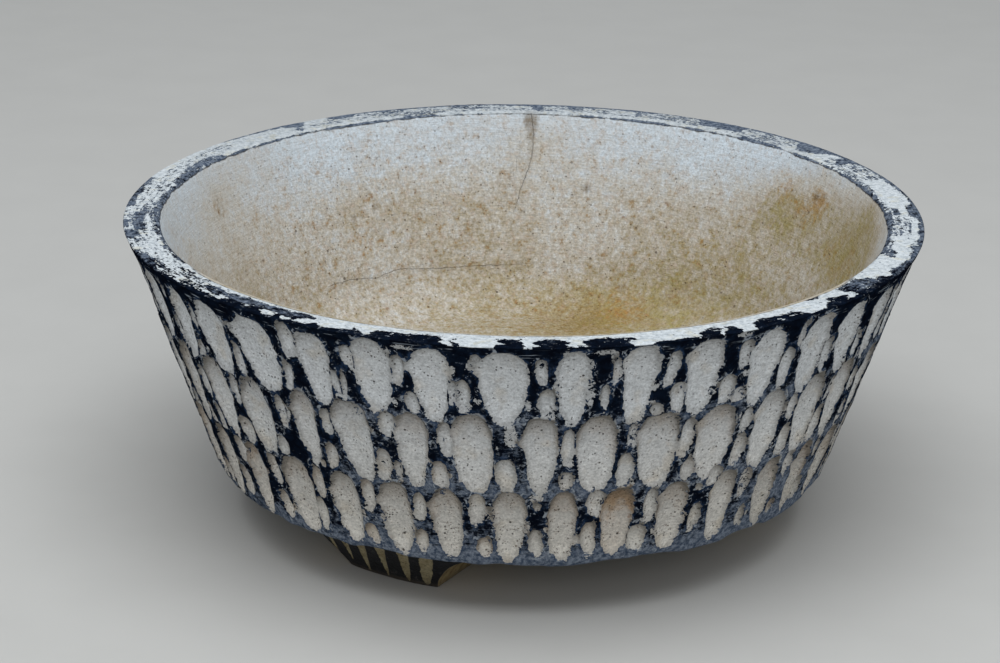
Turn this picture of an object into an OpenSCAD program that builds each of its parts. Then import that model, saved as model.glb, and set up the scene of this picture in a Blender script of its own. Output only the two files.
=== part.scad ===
// Concrete bowl planter on three arched feet.
// Millimetres, +Z up. The origin is on the ground, under the centre of the bowl.
// The front of the bowl faces -Y.

/* [Bowl] */
// Outer diameter of the rim
rim_d = 500; // [470:5:540]
// Height of the bowl alone, from the underside of its floor to its rim
bowl_h = 158; // [146:2:172]
// Outer diameter at the foot of the wall, before its edge is rounded
base_d = 391; // [380:1:400]
// Thickness of the wall, measured level
wall = 22.5; // [21:0.5:26]
// Thickness of the floor
floor_t = 28; // [26:1:34]
// Radius of the cove where the wall meets the floor inside
cove_r = 40; // [20:5:50]
// Rounding of the outer edge under the wall
base_round = 5; // [3:1:12]
// Rounding of the outer edge of the rim
rim_round_out = 1; // [0.5:0.5:5]
// Rounding of the inner edge of the rim
rim_round_in = 4; // [1:0.5:6]
// Diameter of the drain hole
drain_d = 25; // [16:1:40]

/* [Feet] */
// Height of the underside of the floor above the ground
foot_h = 36; // [34:1:46]
// Distance from the centre to the outer edge of a sole
sole_r = 155; // [150:1:160]
// Radial depth of a sole
sole_depth = 60; // [56:1:70]
// Outward slant of a foot's face, in degrees from upright
foot_slant = 33; // [20:1:36]
// Width of a foot at the ground
foot_w = 62.7; // [58:0.1:70]
// Radius of the arch that is cut into each end of a foot
arch_r = 50; // [48:1:54]
// How far each end of a foot's top runs out past its sole
foot_reach = 30; // [20:1:32]
// Thickness of the mortar bed on top of a foot
mortar_t = 4; // [3:0.5:5]
// How far the mortar bed stays back from the edges of the foot
mortar_inset = 1; // [0:0.5:2]

/* [Dowels] */
// Diameter of the steel dowels between foot and floor
dowel_d = 8; // [6:1:10]
// Depth of a dowel in its foot
dowel_in_foot = 20; // [14:1:22]
// Depth of a dowel in the floor
dowel_in_floor = 14; // [10:1:16]
// Distance from the centre of the bowl to the dowels
dowel_r = 128; // [122:1:136]
// Distance between the two dowels of a foot
dowel_gap = 36; // [30:1:44]

/* [Reinforcement] */
// Diameter of the hoops and bars
rod_d = 4; // [3:0.5:4]
// Concrete cover over the hoops, square to the outside of the wall
cover = 6.5; // [6:0.5:7]
// Clear gap between a hoop and the bars that it is tied to
rod_gap = 0.8; // [0.5:0.1:1]
// Depth of the upper hoop below the rim
rim_hoop_depth = 14; // [12:1:20]
// Depth of the middle hoop below the rim
wall_hoop_depth = 102; // [80:1:106]
// Radius of the hoop in the floor
floor_hoop_r = 100; // [80:1:112]
// Number of L-shaped bars in the wall and floor
bar_count = 9; // [9, 18]
// Radius to which the bars reach in towards the drain hole
bar_inner_r = 45; // [35:1:60]
// Bend radius of the bars, at their middle line
bar_bend = 16; // [12:1:24]
// Diameter of the wire of the ties
tie_d = 1.2; // [0.8:0.1:1.2]

/* [Hidden] */
$fn = 96;

rim_r = rim_d / 2;
base_r = base_d / 2;
top_z = foot_h + bowl_h;
floor_z = foot_h + floor_t;
sharp = (90 - atan((rim_r - base_r) / bowl_h)) / 2;                // half the angle of the rim's outer edge
rim_edge_r = rim_r + rim_round_out * (1 / tan(sharp) - 1);          // radius of that edge before it is rounded
slope = (rim_edge_r - base_r) / bowl_h;  // how much wider the wall gets for each mm of height
lean = atan(slope);                      // the wall's lean from upright

// outer radius of the wall at height z
function wall_r(z) = base_r + slope * (z - foot_h);
// radius of a point inside the wall, d in from the outer face and square to it, at height z
function deep_r(z, d) = wall_r(z) - d / cos(lean);

foot_top = foot_h - mortar_t;
foot_face_r = sole_r + foot_top * tan(foot_slant);   // radius of a foot's face at its top
sole_in_r = sole_r - sole_depth;
arch_x = foot_w / 2 + sqrt(pow(arch_r, 2) - pow(arch_r - foot_top, 2));  // centre of the arch along the foot
arch_z = foot_top - arch_r;                                          // centre of the arch below the ground
AT = [0, 120, 240];                     // directions of the right, rear left and front left feet

hoop_in = cover + rod_d / 2;            // the hoops' line, in from the outer face
bar_in = hoop_in + rod_d + rod_gap;     // the bars' line
bar_z = foot_h + floor_t / 2;           // the bars' height in the floor
bar_top_z = top_z - 7;
bar_bend_r = deep_r(bar_z, bar_in);
bar_turn = 180 / bar_count;

// Points that replace corner b of the path a-b-c by an arc of radius r in n steps
function corner(a, b, c, r, n) =
    let (u = (a - b) / norm(a - b), v = (c - b) / norm(c - b),
         half = acos(u * v) / 2,
         m = (u + v) / norm(u + v),
         o = b + m * r / sin(half),
         p = b + u * r / tan(half), q = b + v * r / tan(half),
         s = atan2(p[1] - o[1], p[0] - o[0]),
         e = atan2(q[1] - o[1], q[0] - o[0]),
         w = e - s > 180 ? e - s - 360 : e - s < -180 ? e - s + 360 : e - s)
    [for (i = [0:n]) o + r * [cos(s + w * i / n), sin(s + w * i / n)]];

// Half section of the shell, drain hole left out
shell_path =
    let (a = [0, foot_h], b = [base_r, foot_h], c = [rim_edge_r, top_z],
         d = [rim_edge_r - wall, top_z], e = [wall_r(floor_z) - wall, floor_z], f = [0, floor_z])
    concat([a], corner(a, b, c, base_round, 6), corner(b, c, d, rim_round_out, 4),
           corner(c, d, e, rim_round_in, 5), corner(d, e, f, cove_r, 10), [f]);

module bowl_shell() {
    color([0.17, 0.2, 0.25])
    difference() {
        rotate_extrude() polygon(shell_path);
        translate([0, 0, foot_h - 1]) cylinder(d = drain_d, h = floor_t + 2);
        for (a = AT) rotate([0, 0, a]) dowel_pair();
    }
}

// Two dowels of the foot that stands on the +X axis
module dowel_pair() {
    for (s = [-1, 1])
        translate([dowel_r, s * dowel_gap / 2, foot_top - dowel_in_foot])
            cylinder(d = dowel_d, h = dowel_in_foot + mortar_t + dowel_in_floor);
}

// A foot on the +X axis: flat at the back, with a slanted round face, and cut to an arch at each end
module foot(a) {
    half = foot_w / 2 + foot_reach;
    color([0.2, 0.2, 0.2])
    rotate([0, 0, a])
    difference() {
        intersection() {
            cylinder(r1 = sole_r, r2 = foot_face_r, h = foot_top);
            translate([sole_in_r, 0, 0]) rotate([90, 0, 90])
                linear_extrude(height = foot_face_r - sole_in_r + 5)
                    difference() {
                        translate([-half, 0]) square([2 * half, foot_top]);
                        for (s = [-1, 1]) translate([s * arch_x, arch_z]) circle(r = arch_r);
                    }
        }
        dowel_pair();
    }
}

// The bed of mortar between a foot and the floor
module mortar_bed(a) {
    half = foot_w / 2 + foot_reach - mortar_inset;
    color([0.55, 0.54, 0.5])
    rotate([0, 0, a])
    difference() {
        intersection() {
            translate([0, 0, foot_top]) cylinder(r = foot_face_r - mortar_inset, h = mortar_t);
            translate([sole_in_r + mortar_inset, -half, foot_top - 1])
                cube([foot_face_r, 2 * half, mortar_t + 2]);
        }
        dowel_pair();
    }
}

module dowels(a) {
    color([0.5, 0.42, 0.36]) rotate([0, 0, a]) dowel_pair();
}

// A round hoop of rod
module hoop(r, z) {
    color([0.45, 0.36, 0.3])
    translate([0, 0, z]) rotate_extrude() translate([r, 0]) circle(d = rod_d);
}

module rim_hoop() { hoop(deep_r(top_z - rim_hoop_depth, hoop_in), top_z - rim_hoop_depth); }
module wall_hoop() { hoop(deep_r(top_z - wall_hoop_depth, hoop_in), top_z - wall_hoop_depth); }
module floor_hoop() { hoop(floor_hoop_r, bar_z - rod_d - rod_gap); }

// One L-shaped bar in the +X direction, from near the drain hole out and up the wall.
// A ball a hair thicker than the rod closes each end of the bend.
module bar() {
    turn = 90 - lean;
    x0 = bar_bend_r - bar_bend * tan(turn / 2);           // where the bend starts
    x1 = x0 + bar_bend * sin(turn);                       // where it ends
    z1 = bar_z + bar_bend * (1 - cos(turn));
    translate([bar_inner_r, 0, bar_z]) rotate([0, 90, 0]) cylinder(d = rod_d, h = x0 - bar_inner_r);
    translate([x0, 0, bar_z]) sphere(d = rod_d + 0.1);
    translate([x0, 0, bar_z + bar_bend]) rotate([90, 0, 0])
        rotate_extrude(angle = turn, start = -90) translate([bar_bend, 0]) circle(d = rod_d);
    translate([x1, 0, z1]) sphere(d = rod_d + 0.1);
    translate([x1, 0, z1]) rotate([0, lean, 0]) cylinder(d = rod_d, h = (bar_top_z - z1) / cos(lean));
}

module upright_bars() {
    color([0.45, 0.36, 0.3])
    for (i = [0:bar_count - 1]) rotate([0, 0, bar_turn + i * 360 / bar_count]) bar();
}

// A ring of wire round a bar and a hoop where they cross. Its plane holds the line
// from one rod to the other, and lies half-way between the directions of the two.
module tie_ring() {
    rotate([45, 0, 0]) rotate_extrude() translate([rod_d + rod_gap / 2 + tie_d / 2 + 0.2, 0]) circle(d = tie_d);
}

module tie_wires() {
    mid = (hoop_in + bar_in) / 2;
    color([0.35, 0.3, 0.27])
    for (i = [0:bar_count - 1]) rotate([0, 0, bar_turn + i * 360 / bar_count]) {
        for (z = [top_z - rim_hoop_depth, top_z - wall_hoop_depth])
            translate([deep_r(z, hoop_in) - (mid - hoop_in) * cos(lean), 0, z + (mid - hoop_in) * sin(lean)])
                rotate([0, lean, 0]) tie_ring();
        translate([floor_hoop_r, 0, bar_z - (rod_d + rod_gap) / 2])
            rotate([0, 90, 0]) tie_ring();
    }
}

bowl_shell();
foot(AT[0]);  // foot_right
foot(AT[1]);  // foot_rear_left
foot(AT[2]);  // foot_front_left
mortar_bed(AT[0]);  // mortar_bed_right
mortar_bed(AT[1]);  // mortar_bed_rear_left
mortar_bed(AT[2]);  // mortar_bed_front_left
dowels(AT[0]);  // dowels_right
dowels(AT[1]);  // dowels_rear_left
dowels(AT[2]);  // dowels_front_left
rim_hoop();
wall_hoop();
floor_hoop();
upright_bars();
tie_wires();
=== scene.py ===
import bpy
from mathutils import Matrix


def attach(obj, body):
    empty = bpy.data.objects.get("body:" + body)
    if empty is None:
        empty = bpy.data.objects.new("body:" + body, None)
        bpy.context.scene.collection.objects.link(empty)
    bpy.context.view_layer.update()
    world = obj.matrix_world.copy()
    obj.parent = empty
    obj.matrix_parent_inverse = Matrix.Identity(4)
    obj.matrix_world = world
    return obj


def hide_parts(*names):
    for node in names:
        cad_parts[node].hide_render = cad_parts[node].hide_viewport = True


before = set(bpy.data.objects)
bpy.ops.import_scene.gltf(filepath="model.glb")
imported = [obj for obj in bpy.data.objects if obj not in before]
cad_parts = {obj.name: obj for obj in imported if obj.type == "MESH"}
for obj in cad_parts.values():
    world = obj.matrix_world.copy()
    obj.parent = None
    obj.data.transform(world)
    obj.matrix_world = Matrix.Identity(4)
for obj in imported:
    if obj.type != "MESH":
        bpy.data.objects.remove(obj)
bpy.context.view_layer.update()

import math

import bpy
import numpy as np
from mathutils import Matrix, Vector

MM = 0.001

# ------------------------------------------------------------------ camera
CAM_YAW, CAM_PITCH, CAM_ROLL = -0.00832, 0.34995, 0.01122


def make_camera():
    cy, sy = math.cos(CAM_YAW), math.sin(CAM_YAW)
    cp, sp = math.cos(CAM_PITCH), math.sin(CAM_PITCH)
    forward = Vector((sy * cp, cy * cp, -sp))
    right = Vector((cy, -sy, 0))
    up = right.cross(forward)
    cr, sr = math.cos(CAM_ROLL), math.sin(CAM_ROLL)
    x = cr * right + sr * up
    y = -sr * right + cr * up
    data = bpy.data.cameras.new("camera")
    data.lens = 100.8
    data.sensor_width = 36
    data.clip_start, data.clip_end = 0.05, 60
    cam = bpy.data.objects.new("camera", data)
    m = Matrix.Identity(4)
    for i in range(3):
        m[i][0], m[i][1], m[i][2] = x[i], y[i], -forward[i]
    m[0][3], m[1][3], m[2][3] = 0, -1.68132, 0.72539
    cam.matrix_world = m
    bpy.context.scene.collection.objects.link(cam)
    bpy.context.scene.camera = cam


make_camera()

# ------------------------------------------------------------------ numbers of the part, in mm
RIM_R, RIM_EDGE, BASE_R, TOP, BOTTOM, FLOOR = 250.0, 250.401, 195.5, 194.0, 36.0, 64.0
WALL, COVE, BASE_ROUND, ROUND_OUT, ROUND_IN, DRAIN_R = 22.5, 40.0, 5.0, 1.0, 4.0, 12.5
SLOPE = (RIM_EDGE - BASE_R) / (TOP - BOTTOM)
LEAN = math.atan(SLOPE)
SLANT = (TOP - BOTTOM) / math.cos(LEAN)          # length of the outer wall down its slant
NT = 1200                  # columns round the bowl
AZ0 = -90.0                                       # the first column: azimuth from the front, + towards +X


# ------------------------------------------------------------------ seeded noise on numpy points
def _hash(ix, iy, iz, seed):
    h = (ix * 73856093) ^ (iy * 19349663) ^ (iz * 83492791) ^ (seed * 40503 + 12345)
    h = h & 0xFFFFFFFF
    h = ((h ^ (h >> 15)) * 2246822519) & 0xFFFFFFFF
    h = ((h ^ (h >> 13)) * 3266489917) & 0xFFFFFFFF
    h = h ^ (h >> 16)
    return h / 2147483647.5 - 1.0


def noise3(p, size, seed=0):
    """Smooth value noise from -1 to 1, size mm from bump to bump. p is (..., 3)."""
    q = np.asarray(p, float) / size
    i = np.floor(q).astype(np.int64)
    f = q - i
    u = f * f * (3 - 2 * f)
    out = 0.0
    for dx in (0, 1):
        wx = u[..., 0] if dx else 1 - u[..., 0]
        for dy in (0, 1):
            wy = u[..., 1] if dy else 1 - u[..., 1]
            for dz in (0, 1):
                wz = u[..., 2] if dz else 1 - u[..., 2]
                out = out + wx * wy * wz * _hash(i[..., 0] + dx, i[..., 1] + dy, i[..., 2] + dz, seed)
    return out


def fbm(p, size, seed=0, octaves=3):
    total, amp, norm = 0.0, 1.0, 0.0
    for k in range(octaves):
        total = total + amp * noise3(p, size / 2**k, seed + 17 * k)
        norm += amp
        amp *= 0.5
    return total / norm


def noise1(x, size, seed):
    x = np.asarray(x, float)
    z = np.zeros_like(x)
    return noise3(np.stack([x, z + 0.37 * size, z + 0.61 * size], -1), size, seed)


def smooth(x, a, b):
    t = np.clip((np.asarray(x, float) - a) / (b - a), 0, 1)
    return t * t * (3 - 2 * t)


def angle_gap(a, b):
    return (np.asarray(a) - b + 180.0) % 360.0 - 180.0


# ------------------------------------------------------------------ the gouged pattern of the outside
# Each big scoop: left and right edge in degrees where it is widest, top and bottom in mm down
# the slant from the rim, and the degree at which its lower end comes out.
ROW1 = [(-78.5, -72, 10, 57, -75), (-68.8, -62.6, 9, 55, -65.5), (-58.5, -53.9, 9, 57, -56.8),
        (-51.7, -45.2, 6, 56, -47.8), (-42.7, -35.5, 6, 58, -38.2), (-31.7, -26.6, 6, 58, -28.6),
        (-23.2, -17.6, 2, 56, -20), (-14.8, -9.2, 4, 56, -11.8), (-5.8, 1.0, 4, 57, -2.2),
        (4.8, 9.2, 3, 58, 7), (13.3, 18.4, 2, 60, 16), (22.6, 27.8, 3, 57, 25.2), (32.4, 38, 4, 59, 35.2),
        (41.8, 47.2, 4, 62, 44.7), (49.5, 54.9, 6, 57, 53.5), (58.8, 64, 8, 57, 61.5)]
ROW2 = [(-72, -66.2, 53, 108, -69), (-63.8, -58.8, 53, 107, -61.6), (-55, -49.2, 52, 108, -51.8),
        (-46.2, -40.1, 54, 107, -43), (-35.4, -31.1, 51, 104, -33.2), (-28.2, -21.9, 51, 107, -24),
        (-18.2, -13.2, 53, 107, -15.8), (-10.2, -3.6, 50, 108, -6.5), (0.4, 5.5, 52, 108, 3),
        (7.9, 14.1, 52, 108, 11.5), (17, 23.5, 53, 108, 20.8), (26.2, 33, 54, 108, 30),
        (36.5, 42.1, 53, 109, 39.7), (45.3, 51.3, 52, 108, 49), (53.8, 59.4, 53, 108, 57),
        (64, 70, 57, 110, 67)]
ROW3 = [(-60.6, -55.6, 109, 162, -60), (-51.2, -46.2, 109, 164, -49.6), (-41.7, -35.3, 107, 163, -38.3),
        (-31.7, -26.4, 109, 163, -28.8), (-22.6, -17.4, 109, 162, -20), (-14, -8.9, 108, 158, -11.3),
        (-4.2, 1.3, 108, 160, -1.8), (4.4, 9.4, 108, 160, 7), (13, 18.6, 109, 159, 15.8),
        (22.5, 28.1, 109, 159, 25.3), (32, 36.9, 108, 158, 35), (42, 47, 110, 160, 45.5),
        (51, 56, 109, 158, 53.5)]
# Each small scoop: left and right edge in degrees, top and bottom in mm down the slant.
SMALL = [
    (1.7, 3.4, 9, 28), (12, 13.4, 10, 27), (19.5, 21.4, 8, 32), (30.1, 32.3, 8, 30), (40.2, 41.5, 4, 22),
    (-6.4, -5.2, 6, 13), (-17.4, -15.5, 12, 33), (-24.8, -22.5, 10, 27), (-34, -31.5, 2, 28),
    (-44.4, -43.2, 15, 21), (-53.4, -51.8, 15, 32), (-61.5, -60.3, 10, 21),
    (-8.8, -6.8, 25, 50), (-10.1, -8.5, 27, 43), (-16.2, -14, 37, 53), (-25.3, -24.4, 30, 50),
    (-27.4, -25.7, 30, 48), (2.3, 4.8, 31, 52), (10.7, 12.1, 28, 47), (18, 20.3, 46, 56),
    (20.7, 23.3, 32, 53), (28.3, 30.9, 32, 53), (31, 33.3, 43, 54), (38.2, 40.7, 22, 50),
    (47.3, 49.2, 26, 50), (55.7, 57.9, 32, 50), (58.7, 60, 47, 54), (-35, -33.3, 32, 52),
    (-44.8, -42.9, 30, 53), (-54.5, -52.5, 41, 53), (-60.5, -58.5, 31, 52),
    (-58, -55.4, 64, 85), (-48.4, -46.5, 56, 78), (-38.5, -36.8, 60, 84), (-30.2, -28.2, 60, 80),
    (-20.6, -17.9, 54, 72), (-12, -9.3, 57, 82), (5.8, 8, 60, 89), (23.6, 26, 60, 88),
    (33.8, 35.9, 60, 77), (42.9, 45, 60, 79), (52.4, 54, 60, 75), (60.2, 62.8, 64, 82), (15.4, 17, 58, 77),
    (-66.6, -64.4, 93, 108), (-59.9, -58.1, 93, 112), (-56.7, -54.3, 90, 109), (-49.5, -46, 88, 107),
    (-40.6, -38.2, 91, 108), (-32.3, -31.3, 100, 106), (-30.7, -28.4, 86, 106), (-21.9, -19.4, 82, 106),
    (-19, -17.8, 90, 101), (-13.4, -10.7, 87, 107), (-3.8, -0.6, 82, 107), (5.9, 8.2, 92, 106),
    (14.4, 17.3, 80, 105), (25, 27.8, 91, 107), (33.8, 36.4, 80, 104), (43.2, 45.9, 83, 108),
    (51.2, 54.3, 80, 107), (61.2, 63.8, 88, 108),
    (-53.5, -50.8, 108, 127), (-45, -42.5, 110, 132), (-34.9, -32.6, 107, 131), (-25.7, -23.3, 108, 134),
    (-17, -14.8, 112, 134), (-8, -5.2, 109, 133), (2.2, 3.4, 115, 121), (10.3, 13.6, 107, 127),
    (19.8, 22.3, 110, 134), (28.6, 29.8, 112, 118), (30.5, 33.3, 101, 116), (47.5, 50, 109, 127),
    (56.6, 58.4, 112, 124), (37.6, 40, 109, 130),
    (-56, -52.8, 133, 157), (-45, -42.2, 138, 158), (-36.3, -33.5, 132, 157), (-26.6, -24, 143, 160),
    (-17.3, -15, 141, 158), (-7, -4.2, 143, 160), (1.4, 4, 136, 156), (10, 12.6, 132, 158),
    (17.8, 21.3, 137, 159), (28.8, 31, 128, 150), (39.5, 41.5, 140, 157), (47.5, 49.5, 145, 155),
    (54.5, 57.5, 138, 155)]
# Torn, speckled places: degree, mm down the slant, half sizes in mm across and along.
TORN = [(9.4, 37, 3.2, 9), (27.2, 42, 3, 6), (10.8, 5, 9, 3), (30, 3, 8, 2.5), (-15.5, 5, 9, 2.6),
        (-1.4, 66, 5, 11), (-61, 15, 3, 6), (-4.6, 124, 4, 7), (39, 120, 5, 10), (9.3, 144, 3.4, 5),
        (-8.5, 36, 3, 8), (-37, 70, 6, 9), (-6.4, 15, 4, 6), (-24, 60, 5, 5), (2.5, 112, 5, 4),
        (33, 48, 6, 5), (22, 58, 6, 3), (-44.5, 60, 5, 6), (16.3, 66, 4, 10), (-12, 112, 5, 5),
        (20.5, 134, 3, 4), (47.5, 38, 3, 9), (56.5, 60, 4, 6), (-52, 60, 4, 6)]


def continue_row(known, count, top, bottom, seed):
    """Fills the rest of a row, from its last known scoop round the back to its first."""
    rng = np.random.default_rng(seed)
    a0 = (known[-1][0] + known[-1][1]) / 2
    a1 = (known[0][0] + known[0][1]) / 2 + 360
    pitch = (a1 - a0) / (count + 1)
    made = []
    for k in range(1, count + 1):
        c = a0 + pitch * k + rng.uniform(-0.6, 0.6)
        half = rng.uniform(2.45, 3.25)
        made.append((c - half, c + half, top + rng.uniform(-2.5, 3), bottom + rng.uniform(-2.5, 3),
                     c + rng.uniform(-0.9, 0.9)))
    return made


def fill_gaps(rows, seed):
    """Small scoops in the gaps that the table of known ones doesn't reach."""
    rng = np.random.default_rng(seed)
    made = []
    for row, base, far in ((rows[0], 0, 62), (rows[1], 53, 66), (rows[2], 108, 59)):
        mids = sorted(((a + b) / 2) % 360 for a, b, *_ in row)
        for m0, m1 in zip(mids, mids[1:] + [mids[0] + 360]):
            c = (m0 + m1) / 2
            if abs(float(angle_gap(c, 0))) < far:
                continue
            if rng.random() < 0.85:
                h, d = rng.uniform(0.7, 1.35), rng.uniform(-0.5, 0.5)
                t = base + rng.uniform(4, 11)
                made.append((c + d - h, c + d + h, t, t + rng.uniform(15, 24)))
            if rng.random() < 0.9:
                h, d = rng.uniform(0.9, 1.6), rng.uniform(-0.5, 0.5)
                t = base + rng.uniform(27, 33)
                made.append((c + d - h, c + d + h, t, base + rng.uniform(48, 54)))
    return made


class Field:
    """What the outside of the wall carries at each point of its grid."""

    def __init__(self, az, s):
        self.az, self.s = az, s                                 # (columns,), (rows,)
        n, m = len(az), len(s)
        self.cut = np.full((n, m), -8.0)                        # mm to the edge of the nearest scoop, + inside
        self.depth = np.zeros((n, m))
        # painted shade under each scoop's domed top: 1 at its lip, fading on the way down
        self.top = np.zeros((n, m))
        self.tone = np.zeros((n, m))
        self.warm = np.zeros((n, m))
        self.torn = np.zeros((n, m))
        self.other = np.full((n, m), -8.0)                      # the same for the next nearest scoop

    def radius(self, s):
        return RIM_EDGE - (RIM_EDGE - BASE_R) * s / SLANT

    def window(self, az_lo, az_hi, s_lo, s_hi):
        c, half = (az_lo + az_hi) / 2, (az_hi - az_lo) / 2
        cols = np.nonzero(np.abs(angle_gap(self.az, c)) <= half)[0]
        rows = np.nonzero((self.s >= s_lo) & (self.s <= s_hi))[0]
        return cols, rows

    def scoop(self, lo, hi, s0, s1, tip, depth, seed, tone, warm, big, shade=1.0, fade=6.0, blunt=0.0):
        form = np.random.default_rng(7000 + seed).uniform(0, 1, 10)
        mid, length = (lo + hi) / 2, s1 - s0
        at = 0.28 + 0.16 * form[0] if big else 0.36 + 0.12 * form[0]
        mm = math.radians(1) * self.radius(s0 + at * length)
        half = (hi - lo) / 2 * mm
        pad = (half + 5) / mm
        cols, rows = self.window(mid - pad - 1.5, mid + pad + 1.5, s0 - 5, s1 + 5)
        if not len(cols) or not len(rows):
            return
        s = self.s[rows][None, :]
        t = (s - s0) / length
        a = angle_gap(self.az[cols], mid)[:, None]
        low = np.clip((t - at) / (1 - at), 0, None)             # 0 where it is widest, 1 at its lower end
        high = np.clip((at - t) / at, 0, None)                  # 1 at its top
        centre = (tip - mid) * np.clip(low, 0, 1.2) ** 1.25
        x = (a - centre) * math.radians(1) * self.radius(s)
        rough = 1 + 0.10 * noise1(s + 50 * seed, 11.0, seed) + 0.06 * noise1(s + 20 * seed, 3.6, seed + 3)
        rough2 = 1 + 0.10 * noise1(s + 50 * seed, 11.0, seed + 7) + 0.06 * noise1(s + 20 * seed, 3.6, seed + 9)
        if big:                                                 # most have a ragged shoulder high on their left
            reach = 0.10 + 0.34 * form[6]
            rough2 = rough2 + reach * np.exp(-((t - 0.20 - 0.12 * form[7]) / (0.05 + 0.05 * form[8])) ** 2)
            rough = rough + 0.14 * form[9] * np.exp(-((t - 0.22 - 0.3 * form[5]) / 0.05) ** 2)
        width = half * 0.96 * np.where(x > 0, rough, rough2)
        narrow = (0.26 + 0.18 * form[1]) if big else (0.12 + 0.20 * form[1])
        width = width * (1 - narrow * np.clip(low, 0, 1) ** (1.0 + 0.5 * form[2]))
        side = np.abs(x) / width
        dome = (2.2 + 1.0 * form[3]) if big else (2.0 + 0.8 * form[3])
        foot = (3.0 + 1.3 * form[4] + blunt) if big else (2.6 + 1.6 * form[4])
        q = np.where(t < at, (side**dome + high**dome) ** (1 / dome), (side**2.6 + low**foot) ** (1 / 2.6))
        ragged = 0.07 * noise3(np.stack(np.broadcast_arrays(x, s, np.full_like(x, 7.0 * seed)), -1), 6.5, seed + 11)
        q = q * (1 + ragged * (1 if big else 0.7))
        inside = (1 - q) * half
        # a steep shoulder under its domed top, then shallower and shallower on its way down
        fall = 7.5 if big else 3.6
        lip = s0 + at * length * (1 - np.clip(1 - np.clip(side, 0, 1) ** dome, 0, 1) ** (1 / dome))
        steep = 1 - (1 - np.clip((s - lip) / fall, 0, 1)) ** 2
        run = 1 - (0.80 if big else 0.6) * np.clip((s - s0 - fall) / (length - fall), 0, 1) ** 1.1
        d = depth * steep * run * np.clip(1 - np.clip(side, 0, 1) ** 2.3, 0, 1) * smooth(s1 - s, -1.0, 5.0)
        d = np.where(inside > 0, d, 0)
        box = np.ix_(cols, rows)
        best = inside > self.cut[box]
        self.other[box] = np.maximum(self.other[box], np.minimum(inside, self.cut[box]))
        self.cut[box] = np.where(best, inside, self.cut[box])
        deeper = d > self.depth[box]
        self.depth[box] = np.where(deeper, d, self.depth[box])
        # painted shade under the dome: as strong as shade at the lip, fading over about fade mm, none outside the scoop
        near = shade * np.exp(-np.clip(s - lip, 0, None) / fade) * smooth(inside, -2.2, -1.4)
        self.top[box] = np.where(best, near, self.top[box])
        self.tone[box] = np.where(best, tone, self.tone[box])
        self.warm[box] = np.where(best, warm, self.warm[box])

    def tear(self, az, s, ra, rs, strength=1.0):
        mm = math.radians(1) * self.radius(s)
        cols, rows = self.window(az - 2 * ra / mm, az + 2 * ra / mm, s - 2 * rs, s + 2 * rs)
        if not len(cols) or not len(rows):
            return
        x = angle_gap(self.az[cols], az)[:, None] * mm / ra
        y = (self.s[rows][None, :] - s) / rs
        box = np.ix_(cols, rows)
        self.torn[box] = np.maximum(self.torn[box], strength * np.clip(1.25 - np.hypot(x, y), 0, 1))


def carve(az, s):
    field = Field(az, s)
    rows = [ROW1 + continue_row(ROW1, 24, 5, 57, 11), ROW2 + continue_row(ROW2, 24, 53, 107.5, 12),
            ROW3 + continue_row(ROW3, 27, 109, 160, 13)]
    small = SMALL + fill_gaps(rows, 14)
    rng = np.random.default_rng(5)
    seed = 100
    for n, row in enumerate(rows):
        for lo, hi, s0, s1, tip in row:
            seed += 1
            warm = (0.05, 0.25, 0.5)[n] * rng.uniform(0.4, 1.6)
            if n == 2 and lo == 13:
                warm = 1.6
            # how dark the painted shade under each row's domes is
            shade = (0.14 + 0.06 * ((seed * 7) % 5), 0.92, 0.92)[n]
            start, end = (s0, s0, s0 - 1.2)[n], (s1, s1 + 1.2, min(s1 + 2.0, 163.8))[n]
            field.scoop(lo, hi, start, end, tip, rng.uniform(4.2, 4.9), seed, rng.uniform(-1, 1), warm, True,
                        shade, (10.0, 9.5, 10.0)[n], (0.0, 0.3, 1.0)[n])
            for k in range(3):                                  # ragged places beside it
                if rng.random() < 0.55:
                    edge = lo if k % 2 else hi
                    field.tear(edge + rng.uniform(-0.3, 0.3), s0 + rng.uniform(0.15, 0.95) * (s1 - s0),
                               rng.uniform(1.5, 3.2), rng.uniform(3, 7), rng.uniform(0.5, 1))
    for lo, hi, s0, s1 in small:
        seed += 1
        c = (lo + hi) / 2
        half = (hi - lo) / 2 * 3.9
        deep = min(3.0, 0.50 * half + 0.4)
        field.scoop(lo, hi, s0, s1, c + rng.uniform(-0.5, 0.5), deep, seed, rng.uniform(-1, 1),
                    rng.uniform(0, 0.6) * s0 / 110, False, 0.8, 5.0)
        if rng.random() < 0.55:
            field.tear(c + rng.uniform(-1, 1), s0 + rng.uniform(-0.1, 1.1) * (s1 - s0), rng.uniform(1.5, 3.4),
                       rng.uniform(2.5, 6), rng.uniform(0.5, 1))
    for place in TORN:
        field.tear(*place)
    meet = np.exp(-((field.cut - field.other) / 1.0) ** 2) * smooth(field.other, -1.6, 0.2)
    field.cut = field.cut - meet * np.clip(field.cut + 1.1, 0, 3.0)
    field.depth = field.depth * (1 - 0.55 * meet)
    return field


# ------------------------------------------------------------------ the half section of the bowl
def corner(a, b, c, r, n):
    a, b, c = (np.array(v, float) for v in (a, b, c))
    u, v = (a - b) / np.linalg.norm(a - b), (c - b) / np.linalg.norm(c - b)
    half = math.acos(float(u @ v)) / 2
    m = (u + v) / np.linalg.norm(u + v)
    o = b + m * r / math.sin(half)
    p, q = b + u * r / math.tan(half), b + v * r / math.tan(half)
    s, e = math.atan2(p[1] - o[1], p[0] - o[0]), math.atan2(q[1] - o[1], q[0] - o[0])
    w = (e - s + math.pi) % (2 * math.pi) - math.pi
    return [o + r * np.array([math.cos(s + w * i / n), math.sin(s + w * i / n)]) for i in range(n + 1)]


def between(a, b, step):
    """Points from a to b, both left out, about step apart."""
    a, b = np.array(a, float), np.array(b, float)
    n = max(1, round(float(np.linalg.norm(b - a)) / step))
    return [a + (b - a) * i / n for i in range(1, n)]


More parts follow.
